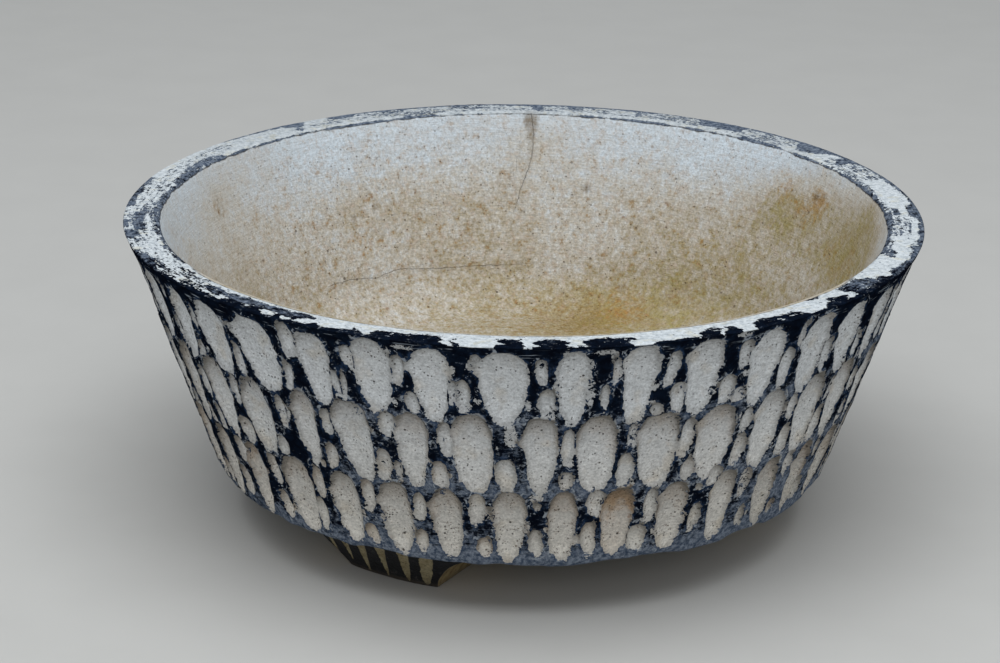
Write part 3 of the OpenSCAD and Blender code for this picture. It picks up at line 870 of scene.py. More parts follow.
def box_grid(na, nb, nc):
    """The six faces of a box as one welded grid: index triples and quads that face outward."""
    index, keys, quads, tags = {}, [], [], []

    def vid(i, j, k):
        t = (i, j, k)
        if t not in index:
            index[t] = len(keys)
            keys.append(t)
        return index[t]

    for tag, (u, v) in {"x0": (nb, nc), "x1": (nb, nc), "y0": (na, nc), "y1": (na, nc), "z0": (na, nb), "z1": (na, nb)}.items():
        for p in range(u):
            for q in range(v):
                cell = [(p, q), (p + 1, q), (p + 1, q + 1), (p, q + 1)]
                if tag[0] == "x":
                    ids = [vid(na if tag[1] == "1" else 0, m, n) for m, n in cell]
                    flip = tag[1] == "0"
                elif tag[0] == "y":
                    ids = [vid(m, nb if tag[1] == "1" else 0, n) for m, n in cell]
                    flip = tag[1] == "1"
                else:
                    ids = [vid(m, n, nc if tag[1] == "1" else 0) for m, n in cell]
                    flip = tag[1] == "0"
                quads.append(ids[::-1] if flip else ids)
                tags.append(tag)
    return np.array(keys, float), quads, tags


def soften(co, quads, weight, rounds):
    """Laplacian smoothing of the points that weight names."""
    q = np.array(quads)
    e = np.concatenate([q[:, [0, 1]], q[:, [1, 2]], q[:, [2, 3]], q[:, [3, 0]]])
    e = np.unique(np.sort(e, 1), axis=0)
    deg = np.zeros(len(co))
    np.add.at(deg, e[:, 0], 1)
    np.add.at(deg, e[:, 1], 1)
    for _ in range(rounds):
        tot = np.zeros_like(co)
        np.add.at(tot, e[:, 0], co[e[:, 1]])
        np.add.at(tot, e[:, 1], co[e[:, 0]])
        co = co + weight[:, None] * 0.6 * (tot / deg[:, None] - co)
    return co


# Gouges of a foot's face: place along the face and half width at the top, the same at the bottom, and
# the height of its lower end, in mm.
GOUGES = [(-53, 2.4, -43, 1.6, 15), (-38.5, 2.8, -36.5, 1.0, 11), (-24.7, 3.7, -25.8, 0.7, 6.5), (-10.9, 3.6, -14.9, 1.0, 1.2),
          (3.3, 4.1, -0.9, 0.7, 1.4), (19.6, 4.4, 13.3, 1.5, 1.2), (35.2, 4.5, 25.1, 3.5, 1.4)]


def build_foot(name, node, direction, seed):
    rng = np.random.default_rng(seed)
    na, nb, nc = ((54, 112, 40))
    keys, quads, tags = box_grid(na, nb, nc)
    a, b, c = keys[:, 0] / na, keys[:, 1] / nb * 2 - 1, keys[:, 2] / nc
    co = foot_point(a, b, c)
    x, y, z = co.T
    face = smooth(a, 0.985, 1.0)
    # cut the gouges into the face
    cut = np.full(len(co), -6.0)
    deep = np.zeros(len(co))
    for y0, w0, y1, w1, end in GOUGES:
        j = rng.uniform(-1, 1, 5) * (0 if seed == 3 else 1)
        y0, y1, end = y0 + 1.3 * j[0], y1 + 1.0 * j[1], max(0.8, end + 1.6 * j[2])
        t = np.clip((FOOT_TOP - z) / (FOOT_TOP - end), 0, 1.3)  # 0 at the top, 1 at its lower end
        mid = y0 + (y1 - y0) * t
        w = (w0 * (1 + 0.12 * j[3])) * (1 - t) + w1 * (1 + 0.12 * j[4]) * t
        w = w * (1 + 0.16 * noise1(z + 40 * seed + y0, 3.5, seed + 5)) * np.sqrt(np.clip(1.02 - t**6, 1e-4, None))
        w = np.maximum(w, 0.02)
        q = np.abs(y - mid) / w
        inside = (1 - q) * np.maximum(w, 0.8)
        inside = np.where(t > 1.0, np.minimum(inside, (1.0 - t) * 12), inside)
        cut = np.maximum(cut, inside)
        deep = np.maximum(deep, np.where(inside > 0, 1.5 * (1 - np.clip(q, 0, 1) ** 2) * np.clip(1.1 - 0.6 * t, 0, 1), 0))
    cut = np.where(face > 0, cut, -6)
    norm = np.stack([x, y, np.zeros_like(x)], -1)
    norm /= np.linalg.norm(norm, axis=1)[:, None]
    lump = 0.5 + 0.5 * fbm(co + 7 * seed, 11, seed + 21, 2)
    end_face = smooth(np.abs(b), 0.985, 1.0)
    sole = 1 - smooth(z, 0.0, 0.4)
    co = co - norm * (face * (deep * 0.9 + 0.5 * lump))[:, None]
    # rough arch ends
    sign = np.sign(b)
    rough = (0.45 + 0.6 * fbm(co + 3 * seed, 8, seed + 31, 3) + 0.25 * noise3(co, 2.2, seed + 33))
    co[:, 1] -= sign * end_face * rough * smooth(z, 0.2, 3)
    # soft, chipped edges
    near = np.zeros(len(co))
    dist = np.minimum(np.minimum((1 - a) * (x - SOLE_IN) / np.maximum(a, 0.2), 9), 9)
    d_face = (1 - a) * 60
    d_back = a * 60
    d_end = (1 - np.abs(b)) * half_width(z)
    d_low, d_up = z, FOOT_TOP - z
    d = np.sort(np.stack([d_face, d_back, d_end, d_low, d_up]), 0)[1]   # the nearest face is 0, the next is this far
    near = 1 - smooth(d, 0.6, 3.0)
    up_ok = smooth(d_up, 0.1, 1.0)
    rounds = 7
    co2 = soften(co, quads, near * (0.35 + 0.65 * (0.5 + 0.5 * noise3(co + 11 * seed, 7, seed + 41))), rounds)
    co2[:, 2] = np.where(keys[:, 2] == nc, FOOT_TOP, co2[:, 2])
    co = co2
    co[:, 2] = np.clip(co[:, 2], 0.0, FOOT_TOP)
    low = z < 0.2
    # turn the foot to its place round the bowl; the clip above keeps the sole flat where it stands and the softening
    # rounds its edges
    t = math.radians(direction)
    rot = np.array([[math.cos(t), -math.sin(t), 0], [math.sin(t), math.cos(t), 0], [0, 0, 1]])
    world = co @ rot.T
    ob = mesh_object(name, world, quads)
    put(ob, "cut", cut)
    put(ob, "face", face)
    put(ob, "ends", end_face * (1 - face))
    put(ob, "back", 1 - smooth(a, 0.0, 0.02))
    put(ob, "height", z)
    put(ob, "sole", sole)
    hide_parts(node)
    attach(ob, "root")
    return ob


# ------------------------------------------------------------------ materials
def rgb(r, g, b):
    def lin(v):
        v /= 255.0
        return v / 12.92 if v <= 0.04045 else ((v + 0.055) / 1.055) ** 2.4
    return (lin(r), lin(g), lin(b), 1.0)


class Tree:
    """A short way to write node trees."""

    def __init__(self, name):
        self.mat = bpy.data.materials.new(name)
        self.mat.use_nodes = True
        self.t = self.mat.node_tree
        self.t.nodes.clear()
        self.out = self.t.nodes.new("ShaderNodeOutputMaterial")
        self.bsdf = self.t.nodes.new("ShaderNodeBsdfPrincipled")
        self.t.links.new(self.bsdf.outputs[0], self.out.inputs[0])
        self.object = self.t.nodes.new("ShaderNodeTexCoord").outputs["Object"]
        self.known = {}

    def _set(self, socket, v):
        if isinstance(v, bpy.types.NodeSocket):
            self.t.links.new(v, socket)
        elif socket.type == "VECTOR" and hasattr(v, "__len__"):
            socket.default_value = v[:3]
        else:
            socket.default_value = v

    def attr(self, name):
        if name not in self.known:
            n = self.t.nodes.new("ShaderNodeAttribute")
            n.attribute_name = name
            self.known[name] = n.outputs["Fac"]
        return self.known[name]

    def vector(self, name):
        if name not in self.known:
            n = self.t.nodes.new("ShaderNodeAttribute")
            n.attribute_name = name
            self.known[name] = n.outputs["Vector"]
        return self.known[name]

    def ramp(self, v, stops):
        n = self.t.nodes.new("ShaderNodeValToRGB")
        self._set(n.inputs[0], v)
        e = n.color_ramp.elements
        e[0].position, e[0].color = stops[0][0], stops[0][1]
        e[1].position, e[1].color = stops[-1][0], stops[-1][1]
        for at_, col in stops[1:-1]:
            new = e.new(at_)
            new.color = col
        return n.outputs[0]

    def m(self, op, a, b=0.0, c=0.0, clamp=False):
        n = self.t.nodes.new("ShaderNodeMath")
        n.operation = op
        n.use_clamp = clamp
        for k, v in enumerate((a, b, c)):
            self._set(n.inputs[k], v)
        return n.outputs[0]

    def add(self, *v):
        out = v[0]
        for w in v[1:]:
            out = self.m("ADD", out, w)
        return out

    def mul(self, *v):
        out = v[0]
        for w in v[1:]:
            out = self.m("MULTIPLY", out, w)
        return out

    def sub(self, a, b):
        return self.m("SUBTRACT", a, b)

    def step(self, v, lo, hi, a=0.0, b=1.0, kind="SMOOTHSTEP"):
        n = self.t.nodes.new("ShaderNodeMapRange")
        n.interpolation_type = kind
        for k, w in enumerate((v, lo, hi, a, b)):
            self._set(n.inputs[k], w)
        return n.outputs[0]

    def scaled(self, vec=None, by=(1, 1, 1), shift=(0, 0, 0)):
        n = self.t.nodes.new("ShaderNodeMapping")
        self._set(n.inputs["Vector"], vec or self.object)
        n.inputs["Scale"].default_value = by
        n.inputs["Location"].default_value = shift
        return n.outputs[0]

    def noise(self, size, detail=2.0, rough=0.5, vec=None, distort=0.0, color=False):
        """size is in mm from bump to bump."""
        n = self.t.nodes.new("ShaderNodeTexNoise")
        self._set(n.inputs["Vector"], vec or self.object)
        n.inputs["Scale"].default_value = 1000.0 / size
        n.inputs["Detail"].default_value = detail
        n.inputs["Roughness"].default_value = rough
        n.inputs["Distortion"].default_value = distort
        return n.outputs["Color" if color else "Fac"]

    def cells(self, size, vec=None, feature="F1"):
        n = self.t.nodes.new("ShaderNodeTexVoronoi")
        n.feature = feature
        self._set(n.inputs["Vector"], vec or self.object)
        n.inputs["Scale"].default_value = 1000.0 / size
        return n.outputs["Distance"], n.outputs["Color"]

    def dots(self, size, radius, share, vec=None):
        """Round spots in cells of size mm; radius is a share of the cell, share the part of the cells that has one."""
        d, col = self.cells(size, vec)
        sep = self.t.nodes.new("ShaderNodeSeparateColor")
        self._set(sep.inputs[0], col)
        here = self.m("LESS_THAN", sep.outputs[0], share)
        rad = self.m("MULTIPLY_ADD", sep.outputs[1], radius * 0.7, radius * 0.3)
        spot = self.step(d, self.mul(rad, 0.55), rad, 1.0, 0.0)
        return self.mul(spot, here)

    def mix(self, f, a, b, blend="MIX"):
        n = self.t.nodes.new("ShaderNodeMix")
        n.data_type = "RGBA"
        n.blend_type = blend
        self._set(n.inputs[0], f)
        self._set(n.inputs[6], a)
        self._set(n.inputs[7], b)
        return n.outputs[2]

    def lerp(self, f, a, b):
        n = self.t.nodes.new("ShaderNodeMix")
        n.data_type = "FLOAT"
        self._set(n.inputs[0], f)
        self._set(n.inputs[2], a)
        self._set(n.inputs[3], b)
        return n.outputs[0]

    def bright(self, col, factor):
        """col times a grey factor."""
        n = self.t.nodes.new("ShaderNodeVectorMath")
        n.operation = "SCALE"
        self._set(n.inputs[0], col)
        self._set(n.inputs["Scale"], factor)
        return n.outputs[0]

    def bump(self, height, distance, strength=1.0, normal=None):
        n = self.t.nodes.new("ShaderNodeBump")
        n.inputs["Strength"].default_value = strength
        n.inputs["Distance"].default_value = distance
        self._set(n.inputs["Height"], height)
        if normal is not None:
            self._set(n.inputs["Normal"], normal)
        return n.outputs[0]

    def finish(self, color, rough, normal=None, specular=0.35, metallic=None):
        self._set(self.bsdf.inputs["Base Color"], color)
        self._set(self.bsdf.inputs["Roughness"], rough)
        self.bsdf.inputs["Specular IOR Level"].default_value = specular
        if metallic is not None:
            self._set(self.bsdf.inputs["Metallic"], metallic)
        if normal is not None:
            self._set(self.bsdf.inputs["Normal"], normal)
        return self.mat


def bare_nodes(t, across):
    """Concrete where a tool went through: pinholes, grit and fine marks across. Gives a grey factor, the pits, a height
    and two of its noises."""
    grain = t.noise(1.5, 4, 0.75)
    mottle = t.noise(8, 4, 0.6)
    marks = t.noise(1.5, 3, 0.6, vec=across)
    pits = t.m("MAXIMUM", t.mul(t.dots(2.0, 0.38, 0.55), t.step(mottle, 0.40, 0.58, 0.15, 1.0)), t.dots(5.5, 0.17, 0.30))
    grey = t.add(1.0, t.mul(t.sub(grain, 0.5), 1.60), t.mul(t.sub(mottle, 0.5), 0.50), t.mul(t.sub(marks, 0.5), 0.55))
    return grey, pits, t.add(t.mul(grain, 0.5), t.mul(marks, 0.6), t.mul(pits, -0.9)), grain, mottle


def marks_of(t, across):
    return t.noise(2.2, 3, 0.6, vec=across)


def outside_layer(t, paint):
    """The outside: black skin, worn to slate, gouged through to the bare concrete. With paint, the rim's worn white too."""
    cut, torn, wear, low = t.attr("cut"), t.attr("torn"), t.attr("wear"), t.attr("low")
    across = t.scaled(t.vector("ring"), by=(0.24, 0.24, 1.0))
    grey, pits, bare_h, grain, mottle = bare_nodes(t, across)
    streak = t.noise(1.25, 3, 0.65, vec=across)
    coarse = t.noise(5.0, 4, 0.6)
    # bare concrete
    cream = t.mix(low, rgb(208, 211, 213), rgb(207, 204, 197))
    near = t.m("POWER", t.m("MAXIMUM", t.attr("top"), 0.0), 0.5)
    brown = t.m("MULTIPLY_ADD", t.step(t.add(near, t.mul(t.sub(mottle, 0.5), 0.8)), 0.26, 0.72), 0.62, 0.14)
    cream = t.mix(t.m("MULTIPLY", t.attr("warm"), brown, clamp=True), cream, rgb(170, 143, 115))
    cream = t.mix(t.mul(t.step(t.noise(15, 2, 0.5), 0.52, 0.74), 0.34), cream, rgb(184, 168, 142))
    rust = t.mul(t.step(t.noise(5.5, 3, 0.65), 0.58, 0.74), t.m("MULTIPLY_ADD", t.attr("warm"), t.m("MULTIPLY_ADD", near, 0.7, 0.1), 0.12, clamp=True))
    cream = t.mix(rust, cream, rgb(138, 104, 76))
    # painted shade under each scoop's domed top, darkening the bare concrete toward grey-brown
    top = t.m("MULTIPLY_ADD", t.attr("top"), t.m("MULTIPLY_ADD", mottle, 1.15, 0.40), t.mul(t.sub(marks_of(t, across), 0.5), t.attr("top"), 0.6), clamp=True)
    cream = t.mix(t.m("MINIMUM", top, 0.86), cream, rgb(88, 84, 76))
    # the tone carries each scoop's own tone and the painted shade under the rim
    cream = t.bright(cream, t.add(grey, t.mul(t.attr("tone"), 0.04)))
    cream = t.mix(t.mul(pits, 0.86), cream, rgb(48, 43, 37))
    holes = t.mul(t.dots(4.0, 0.26, 0.42), t.m("MULTIPLY_ADD", low, 0.5, 0.4))
    cream = t.mix(holes, cream, rgb(44, 39, 33))
    cracks = t.mul(t.step(t.noise(1.6, 3, 0.6, vec=t.scaled(t.vector("ring"), by=(0.16, 0.16, 1.0))), 0.64, 0.71), t.m("MULTIPLY_ADD", low, 0.45, 0.25))
    cream = t.mix(cracks, cream, rgb(84, 76, 66))
    grit = t.mul(t.step(t.noise(1.4, 2, 0.6), 0.57, 0.66), t.step(t.noise(8, 3, 0.6), 0.46, 0.60), t.m("MULTIPLY_ADD", low, 0.62, 0.22))
    cream = t.mix(grit, cream, rgb(92, 76, 60))
    # black skin
    worn = t.step(t.add(wear, t.mul(t.sub(grain, 0.5), 1.2), t.mul(t.sub(streak, 0.5), 1.5), t.mul(t.sub(coarse, 0.5), 2.0)), 0.36, 1.02)
    black = t.mix(t.step(coarse, 0.35, 0.7), rgb(9, 13, 22), rgb(15, 24, 38))
    slate = t.mix(t.step(t.noise(2.8, 4, 0.7), 0.34, 0.70), rgb(60, 72, 90), rgb(134, 143, 156))
    skin = t.mix(worn, black, slate)
    # how ragged the edge between the two is changes from place to place
    wild = t.step(t.noise(16, 2, 0.5), 0.44, 0.64, 0.10, 1.5)
    edge = t.add(cut, 0.15, t.mul(t.sub(t.noise(6.0, 2, 0.5), 0.5), 3.8), t.mul(t.sub(streak, 0.5), wild, 3.4),
                 t.mul(t.sub(t.noise(2.7, 2, 0.55), 0.5), 1.8))
    fringe = t.mul(t.step(edge, -2.2, -0.2), t.step(t.noise(5, 3, 0.6), 0.44, 0.60, 0.1, 0.75))
    skin = t.mix(fringe, skin, rgb(42, 60, 86))
    tatters = t.m("MULTIPLY_ADD", t.sub(t.noise(2.9, 3, 0.6, distort=0.9), 0.5), 13.0, 0.8)
    edge = t.lerp(t.step(torn, 0.05, 0.75), edge, tatters)
    bare = t.step(edge, -0.10, 0.18)
    # painted shade: darker bare concrete in the hollow within about 3 mm of each cut's edge
    cut_edge_shade = t.mul(t.step(t.add(cut, t.mul(t.sub(grain, 0.5), 2.0)), 0.2, 3.2, 1.0, 0.0), 0.34)
    cream = t.mix(cut_edge_shade, cream, rgb(104, 101, 96))
    flakes = t.mul(t.step(t.noise(4.0, 3, 0.6, distort=1.1), 0.565, 0.59), t.step(edge, -3.4, -1.2), t.step(t.noise(12, 2, 0.5), 0.44, 0.54, 0.0, 0.85))
    skin = t.mix(flakes, skin, rgb(150, 157, 165))
    crumbs = t.mul(t.step(t.noise(1.8, 1, 0.5, distort=0.5), 0.66, 0.70), t.step(edge, -4.0, -0.8), t.step(t.noise(9, 2, 0.5), 0.52, 0.64, 0.05, 0.9))
    skin = t.mix(crumbs, skin, rgb(178, 186, 194))
    brush = t.mul(t.step(t.noise(1.0, 2, 0.5, vec=t.scaled(t.vector("ring"), by=(0.06, 0.06, 1.0))), 0.60, 0.66),
                  t.step(t.attr("down"), 1.5, 3.0), t.step(t.attr("down"), 6.0, 11.0, 1.0, 0.0), t.step(t.noise(15, 2, 0.5), 0.48, 0.60, 0.0, 0.75))
    skin = t.mix(brush, skin, rgb(150, 160, 170))
    # painted highlight: a pale broken line on the skin just above each dome's edge, where the painted top shade is
    # strongest
    lip = t.mul(t.step(edge, -1.3, -0.7), t.step(t.attr("top"), 0.8, 0.98), t.step(t.noise(5, 3, 0.6), 0.47, 0.57), 0.7)
    skin = t.mix(lip, skin, rgb(176, 176, 172))
    color = t.mix(bare, skin, cream)
    dark = t.mul(t.sub(1.0, bare), t.sub(1.0, t.mul(worn, 0.7)))
    height = t.add(t.mul(grain, 0.45), t.mul(coarse, 0.9), t.mul(bare, -0.5), t.mul(bare, bare_h, 0.8), t.mul(streak, 0.4))
    if paint:
        patchy = t.noise(5.5, 4, 0.65)
        fleck = t.noise(1.7, 3, 0.65, vec=t.scaled(t.vector("ring"), by=(0.16, 0.16, 1.0)))
        nick = t.noise(1.9, 2, 0.6)
        edge2 = t.add(t.attr("paint"), -0.55, t.mul(t.sub(patchy, 0.5), 3.6), t.mul(t.sub(fleck, 0.5), 6.5), t.mul(t.sub(nick, 0.5), 6.0))
        on = t.step(edge2, -0.12, 0.22)
        lines = t.noise(1.05, 3, 0.7, vec=across)
        white = t.mix(t.step(t.noise(3.4, 4, 0.7), 0.38, 0.70), rgb(216, 221, 224), rgb(172, 179, 184))
        white = t.mix(t.mul(t.step(t.noise(7, 3, 0.6), 0.52, 0.70), 0.45), white, rgb(206, 200, 178))
        white = t.bright(white, t.add(0.98, t.mul(t.sub(lines, 0.5), 0.45), t.mul(t.sub(grain, 0.5), 0.6)))
        white = t.bright(white, t.step(wear, 0.86, 1.10, 1.0, 0.86))
        white = t.mix(t.mul(pits, 0.35), white, rgb(70, 74, 80))
        white = t.mix(t.mul(t.attr("marks"), 0.7), white, rgb(112, 98, 82))
        color = t.mix(on, color, white)
        dark = t.mul(dark, t.sub(1.0, on))
        height = t.add(height, t.mul(on, 0.7))
    rough = t.add(0.92, t.mul(dark, -0.22), t.mul(t.sub(grain, 0.5), 0.12))
    return color, height, rough


def inside_layer(t):
    """The plastered inside: fine marks round it, pale at its top with a blue tint that is painted sky light, browner on
    its way down, with stains and hairline cracks.
    """
    ring = t.vector("ring")
    trowel = t.noise(1.3, 3, 0.6, vec=t.scaled(ring, by=(0.09, 0.09, 1.0)))
    grain = t.noise(1.5, 4, 0.72)
    mid = t.noise(3.2, 4, 0.65)
    patch = t.noise(8.0, 4, 0.6)
    broad = t.noise(30, 3, 0.55)
    lively = t.m("MULTIPLY_ADD", t.attr("rusty"), 0.8, 0.5)
    calm = t.step(t.attr("stain"), -18.0, 25.0, 0.60, 1.0)
    w = t.add(t.attr("stain"), t.mul(t.sub(broad, 0.5), 26.0),
              t.mul(lively, calm, t.add(t.mul(t.sub(patch, 0.5), 56.0), t.mul(t.sub(mid, 0.5), 66.0))))
    # the ramp's pale end is the plaster's own colour; its blue tint is painted sky light
    wall = t.ramp(t.step(w, -30.0, 70.0, kind="LINEAR"), [
        (0.00, rgb(212, 223, 233)), (0.12, rgb(206, 214, 221)), (0.22, rgb(201, 204, 206)), (0.32, rgb(198, 196, 191)),
        (0.42, rgb(192, 186, 176)), (0.52, rgb(183, 174, 159)), (0.62, rgb(172, 161, 139)), (0.72, rgb(163, 149, 119)),
        (0.84, rgb(154, 135, 99)), (1.00, rgb(142, 119, 77))])
    x = t.t.nodes.new("ShaderNodeSeparateXYZ")
    t._set(x.inputs[0], t.object)
    moss = t.mul(t.step(w, 22.0, 60.0), t.step(x.outputs[0], 0.0, 0.12), t.step(t.noise(16, 3, 0.6), 0.40, 0.62, 0.10, 0.56))
    wall = t.mix(moss, wall, rgb(158, 151, 96))
    blot = t.mul(t.step(t.add(patch, t.mul(t.sub(mid, 0.5), 1.1)), 0.66, 0.80), t.attr("rusty"), 0.62)
    wall = t.mix(blot, wall, rgb(156, 120, 84))
    orange = t.mul(t.step(t.add(t.attr("orange"), t.mul(t.sub(mid, 0.5), 1.5), t.mul(t.sub(patch, 0.5), 1.2)), 0.28, 0.95), t.step(t.attr("orange"), 0.02, 0.3), 0.62)
    wall = t.mix(orange, wall, rgb(168, 126, 74))
    pink = t.mul(t.step(t.noise(4.2, 3, 0.65), 0.50, 0.66), lively, 0.40)
    wall = t.mix(pink, wall, t.bright(wall, 0.90))
    wall = t.mix(t.mul(pink, 0.7), wall, rgb(188, 166, 148))
    wall = t.bright(wall, t.add(1.02, t.mul(t.sub(trowel, 0.5), 0.15), t.mul(t.sub(grain, 0.5), lively, 1.30), t.mul(t.sub(mid, 0.5), lively, -0.15)))
    specks = t.m("MAXIMUM", t.dots(6.5, 0.19, 0.34), t.mul(t.dots(2.2, 0.38, 0.50), t.step(mid, 0.46, 0.60)))
    wall = t.mix(t.mul(specks, t.m("MULTIPLY_ADD", t.attr("rusty"), 0.62, 0.10)), wall, rgb(84, 72, 60))
    spots = t.mul(t.dots(11, 0.24, 0.5), t.step(t.noise(2.6, 2, 0.5), 0.42, 0.62), t.attr("rusty"), 0.62)
    wall = t.mix(spots, wall, rgb(132, 98, 66))
    marks = t.m("MULTIPLY", t.step(t.add(t.attr("marks"), t.mul(t.sub(mid, 0.5), 0.7)), 0.22, 0.85), 0.8)
    wall = t.mix(marks, wall, rgb(112, 94, 68))
    line = t.add(t.attr("crack"), t.mul(t.sub(t.noise(10, 3, 0.6), 0.5), 3.4), t.mul(t.sub(mid, 0.5), 1.3))
    crack = t.mul(t.step(t.m("ABSOLUTE", line), 0.10, 0.42, 1.0, 0.0), t.step(t.attr("cracked"), 0.05, 0.7), t.step(mid, 0.28, 0.6, 1.0, 0.35))
    halo = t.mul(t.step(t.m("ABSOLUTE", line), 0.4, 4.0, 1.0, 0.0), t.attr("cracked"), 0.16)
    wall = t.mix(halo, wall, rgb(140, 124, 102))
    wall = t.mix(t.mul(crack, 0.55), wall, rgb(92, 82, 74))
    height = t.add(t.mul(trowel, 0.7), t.mul(grain, 0.5), t.mul(specks, -0.6), t.mul(crack, -1.4))
    return wall, height, t.add(0.90, t.mul(t.sub(grain, 0.5), 0.10))


def raw_layer(t):
    """The bare underside, as it came out of its mould."""
    lumpy, sand = t.noise(12, 4, 0.6), t.noise(1.4, 3, 0.65)
    c = t.bright(rgb(136, 134, 128), t.add(0.95, t.mul(t.sub(lumpy, 0.5), 0.6), t.mul(t.sub(sand, 0.5), 0.35)))
    holes = t.dots(5, 0.25, 0.4)
    c = t.mix(t.mul(holes, 0.8), c, rgb(66, 62, 58))
    c = t.mix(t.step(t.noise(34, 3, 0.6), 0.48, 0.70, 0.0, 0.55), c, rgb(88, 82, 76))
    return c, t.add(t.mul(lumpy, 1.2), t.mul(sand, 0.6), t.mul(holes, -1.0)), t.add(0.92, t.mul(t.sub(sand, 0.5), 0.08))


def bowl_material(name, outside, inside, raw, paint=False):
    """A material of the parts that a patch of the bowl shows; where it shows two, a ragged line parts them."""
    t = Tree(name)
    parts = [f for f, on in ((inside_layer, inside), (raw_layer, raw)) if on]
    color, height, rough = parts[0](t) if parts else outside_layer(t, paint)
    if parts and outside:
        c2, h2, r2 = outside_layer(t, paint)
        line = t.add(t.attr("skin"), t.mul(t.sub(t.noise(3.4, 3, 0.65), 0.5), 5.0))
        f = t.step(line, -0.1, 0.4)
        color, height, rough = t.mix(f, color, c2), t.lerp(f, height, h2), t.lerp(f, rough, r2)
        if paint:                                               # painted shade: a thin dark line on the fillet where the rim's paint ends at the plaster
            edge_shade_line = t.mul(t.step(t.m("ABSOLUTE", line), 0.8, 3.0, 1.0, 0.0), t.step(t.noise(7, 3, 0.6), 0.40, 0.58, 0.15, 0.75))
            color = t.mix(edge_shade_line, color, rgb(66, 62, 58))
    return t.finish(color, rough, t.bump(height, 0.0006, 0.9), specular=0.0)


def foot_material():
    t = Tree("foot_concrete")
    cut, face, ends = t.attr("cut"), t.attr("face"), t.attr("ends")
    grey, pits, cream_h, marks, mottle = bare_nodes(t, t.scaled(by=(0.5, 0.5, 1.0)))
    # the bare concrete of the foot is darker and more olive than the bowl's: partly its own colour, partly painted
    # shade of its place under the bowl
    cream = t.mix(t.step(mottle, 0.35, 0.7), rgb(152, 142, 112), rgb(124, 112, 84))
    cream = t.bright(cream, grey)
    cream = t.mix(t.mul(pits, 0.7), cream, rgb(58, 52, 44))
    ochre = t.mix(t.step(t.noise(8, 3, 0.6), 0.4, 0.7), rgb(164, 146, 106), rgb(118, 98, 66))
    ochre = t.bright(ochre, t.add(0.95, t.mul(t.sub(t.noise(2.0, 3, 0.6), 0.5), 0.5)))
    ochre = t.mix(t.mul(pits, 0.7), ochre, rgb(52, 46, 38))
    fine, coarse = t.noise(0.9, 3, 0.65), t.noise(4.2, 4, 0.6)
    # painted shade: the foot's black skin is set darker than the bowl's black for the shade under the bowl
    skin = t.mix(t.step(coarse, 0.35, 0.7), rgb(7, 8, 11), rgb(18, 19, 25))
    worn = t.step(t.add(t.mul(fine, 0.6), t.mul(coarse, 0.8)), 0.80, 0.96)
    skin = t.mix(t.mul(worn, 0.7), skin, rgb(96, 92, 84))
    edge = t.add(cut, t.mul(t.sub(t.noise(3.2, 3, 0.6), 0.5), 1.6), t.mul(t.sub(t.noise(1.2, 2, 0.6), 0.5), 0.9))
    bare = t.step(edge, -0.1, 0.3)
    front = t.mix(bare, skin, cream)
    raw = t.bright(rgb(128, 124, 114), t.add(0.92, t.mul(t.sub(t.noise(9, 4, 0.6), 0.5), 0.7)))
    raw = t.mix(t.dots(4, 0.25, 0.4), raw, rgb(62, 58, 52))
    end_on = t.step(t.add(ends, t.mul(t.sub(t.noise(4, 3, 0.6), 0.5), 0.5)), 0.35, 0.6)
    rest = t.mix(end_on, raw, ochre)
    skinned = t.step(t.add(face, t.mul(t.sub(t.noise(3, 3, 0.6), 0.5), 0.5)), 0.40, 0.55)
    color = t.mix(skinned, rest, front)
    # darker towards the sole, within about 5 mm of it
    sole_darkening = t.step(t.add(t.attr("height"), t.mul(t.sub(t.noise(5, 3, 0.6), 0.5), 6.0)), 0.5, 5.0, 0.55, 0.0)
    color = t.mix(sole_darkening, color, rgb(92, 84, 72))
    h = t.add(t.mul(fine, 0.3), t.mul(coarse, 1.0), t.mul(t.noise(2.2, 4, 0.65), 0.8), t.mul(bare, skinned, -0.4), t.mul(pits, -0.5))
    normal = t.bump(h, 0.0006, 0.9)
    rough = t.add(0.9, t.mul(t.sub(1.0, bare), skinned, -0.25), t.mul(t.sub(fine, 0.5), 0.1))
    return t.finish(color, rough, normal, specular=0.32)


def mortar_material():
    t = Tree("mortar")
    sand, lump = t.noise(1.1, 3, 0.65), t.noise(6, 4, 0.6)
    c = t.mix(t.step(lump, 0.3, 0.7), rgb(128, 124, 114), rgb(168, 163, 150))
    c = t.bright(c, t.add(0.92, t.mul(t.sub(sand, 0.5), 0.6)))
    c = t.mix(t.mul(t.dots(3, 0.3, 0.4), 0.7), c, rgb(70, 64, 56))
    normal = t.bump(t.add(t.mul(sand, 0.7), lump), 0.0007, 1.0)
    return t.finish(c, t.add(0.92, t.mul(t.sub(sand, 0.5), 0.1)), normal, specular=0.3)


def steel_material(name, bare_color, rust_color, share, stretch):
    t = Tree(name)
    vec = t.scaled(by=stretch)
    scale, grain = t.noise(3.5, 4, 0.65, vec=vec), t.noise(0.8, 3, 0.6)
    rusty = t.step(t.add(scale, t.mul(t.sub(grain, 0.5), 0.5)), share, share + 0.12)
    c = t.mix(rusty, bare_color, rust_color)
    c = t.bright(c, t.add(0.9, t.mul(t.sub(grain, 0.5), 0.6)))
    normal = t.bump(t.add(t.mul(grain, 0.5), t.mul(rusty, 0.8)), 0.0003, 0.8)
    return t.finish(c, t.lerp(rusty, 0.45, 0.88), normal, specular=0.5, metallic=t.lerp(rusty, 0.9, 0.1))


def floor_material():
    t = Tree("studio_floor")
    c = t.mix(t.noise(60, 3, 0.5), rgb(200, 198, 194), rgb(194, 192, 188))
    return t.finish(c, 0.9, specular=0.2)


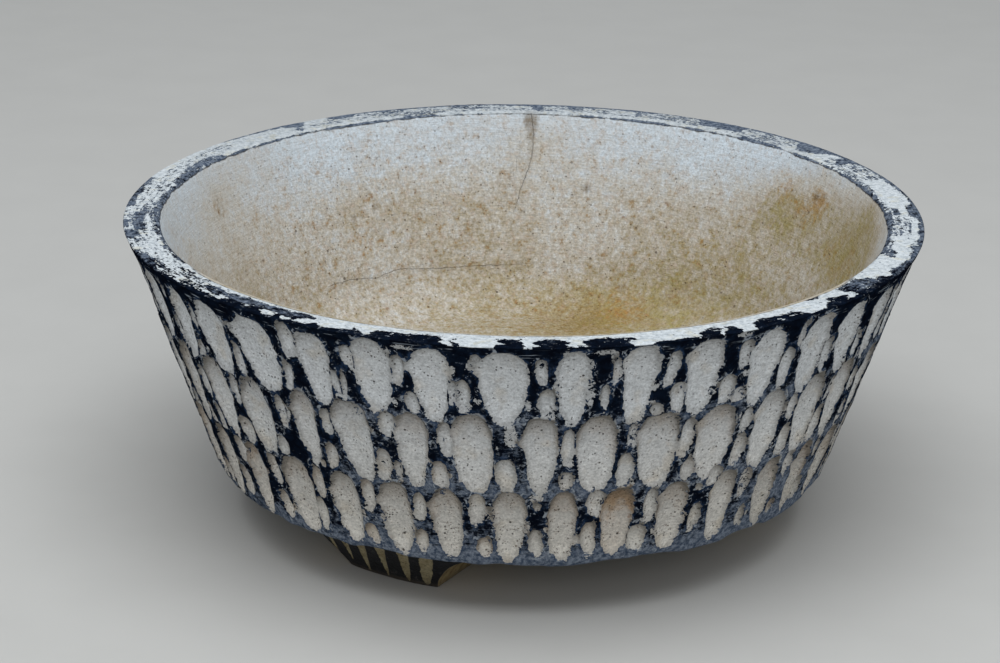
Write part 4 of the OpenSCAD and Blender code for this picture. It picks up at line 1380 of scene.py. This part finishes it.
# ------------------------------------------------------------------ build
bowl = build_bowl()
for made in (bowl_material("bowl_gouged_skin", True, False, False), bowl_material("bowl_rim", True, True, False, True),
             bowl_material("bowl_plaster", False, True, False), bowl_material("bowl_base_edge", True, False, True),
             bowl_material("bowl_underside", False, False, True)):
    bowl.data.materials.append(made)
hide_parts("bowl_shell")
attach(bowl, "root")

foot_mat = foot_material()
for name, node, direction, seed in (("foot_right_cast", "foot_right", 0, 1), ("foot_rear_left_cast", "foot_rear_left", 120, 2),
                                    ("foot_front_left_cast", "foot_front_left", 240, 3)):
    foot = build_foot(name, node, direction, seed)
    foot.data.materials.append(foot_mat)

mortar = mortar_material()
dowel_steel = steel_material("dowel_steel", rgb(120, 118, 116), rgb(112, 66, 40), 0.50, (1, 1, 0.4))
rod_steel = steel_material("rod_steel", rgb(96, 94, 94), rgb(104, 58, 34), 0.46, (0.6, 0.6, 0.6))
wire_steel = steel_material("wire_steel", rgb(84, 82, 82), rgb(92, 56, 38), 0.52, (1, 1, 1))
for node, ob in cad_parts.items():
    if ob.hide_render:
        continue
    kind = (mortar if node.startswith("mortar") else dowel_steel if node.startswith("dowels")
            else wire_steel if node == "tie_wires" else rod_steel)
    ob.data.materials.clear()
    ob.data.materials.append(kind)

# ------------------------------------------------------------------ floor and light
size = 14.0
floor_mesh = bpy.data.meshes.new("floor")
floor_mesh.from_pydata([(-size, -size, 0), (size, -size, 0), (size, size, 0), (-size, size, 0)], [], [(0, 1, 2, 3)])
floor = bpy.data.objects.new("floor", floor_mesh)
floor.location = (0, 0, -0.0002)
bpy.context.scene.collection.objects.link(floor)
floor.data.materials.append(floor_material())

world = bpy.data.worlds.new("studio")
bpy.context.scene.world = world
world.use_nodes = True
back = world.node_tree.nodes["Background"]
back.inputs[0].default_value = (0.90, 0.95, 1.0, 1.0)
back.inputs[1].default_value = 0.34


def area(name, at, look, size_x, size_y, power, color):
    data = bpy.data.lights.new(name, "AREA")
    data.shape = "RECTANGLE"
    data.size, data.size_y, data.energy, data.color = size_x, size_y, power, color
    ob = bpy.data.objects.new(name, data)
    ob.location = at
    ob.rotation_mode = "QUATERNION"
    ob.rotation_quaternion = (Vector(look) - Vector(at)).to_track_quat("-Z", "Y")
    bpy.context.scene.collection.objects.link(ob)


area("sky_panel", (-0.05, -0.9, 3.2), (0, 0, 0.1), 3.6, 2.8, 96, (0.93, 0.97, 1.0))
area("front_panel", (0.5, -3.5, 1.7), (0, 0, 0.1), 2.2, 1.5, 16, (1.0, 0.98, 0.96))

bpy.context.scene.view_settings.view_transform = "Standard"
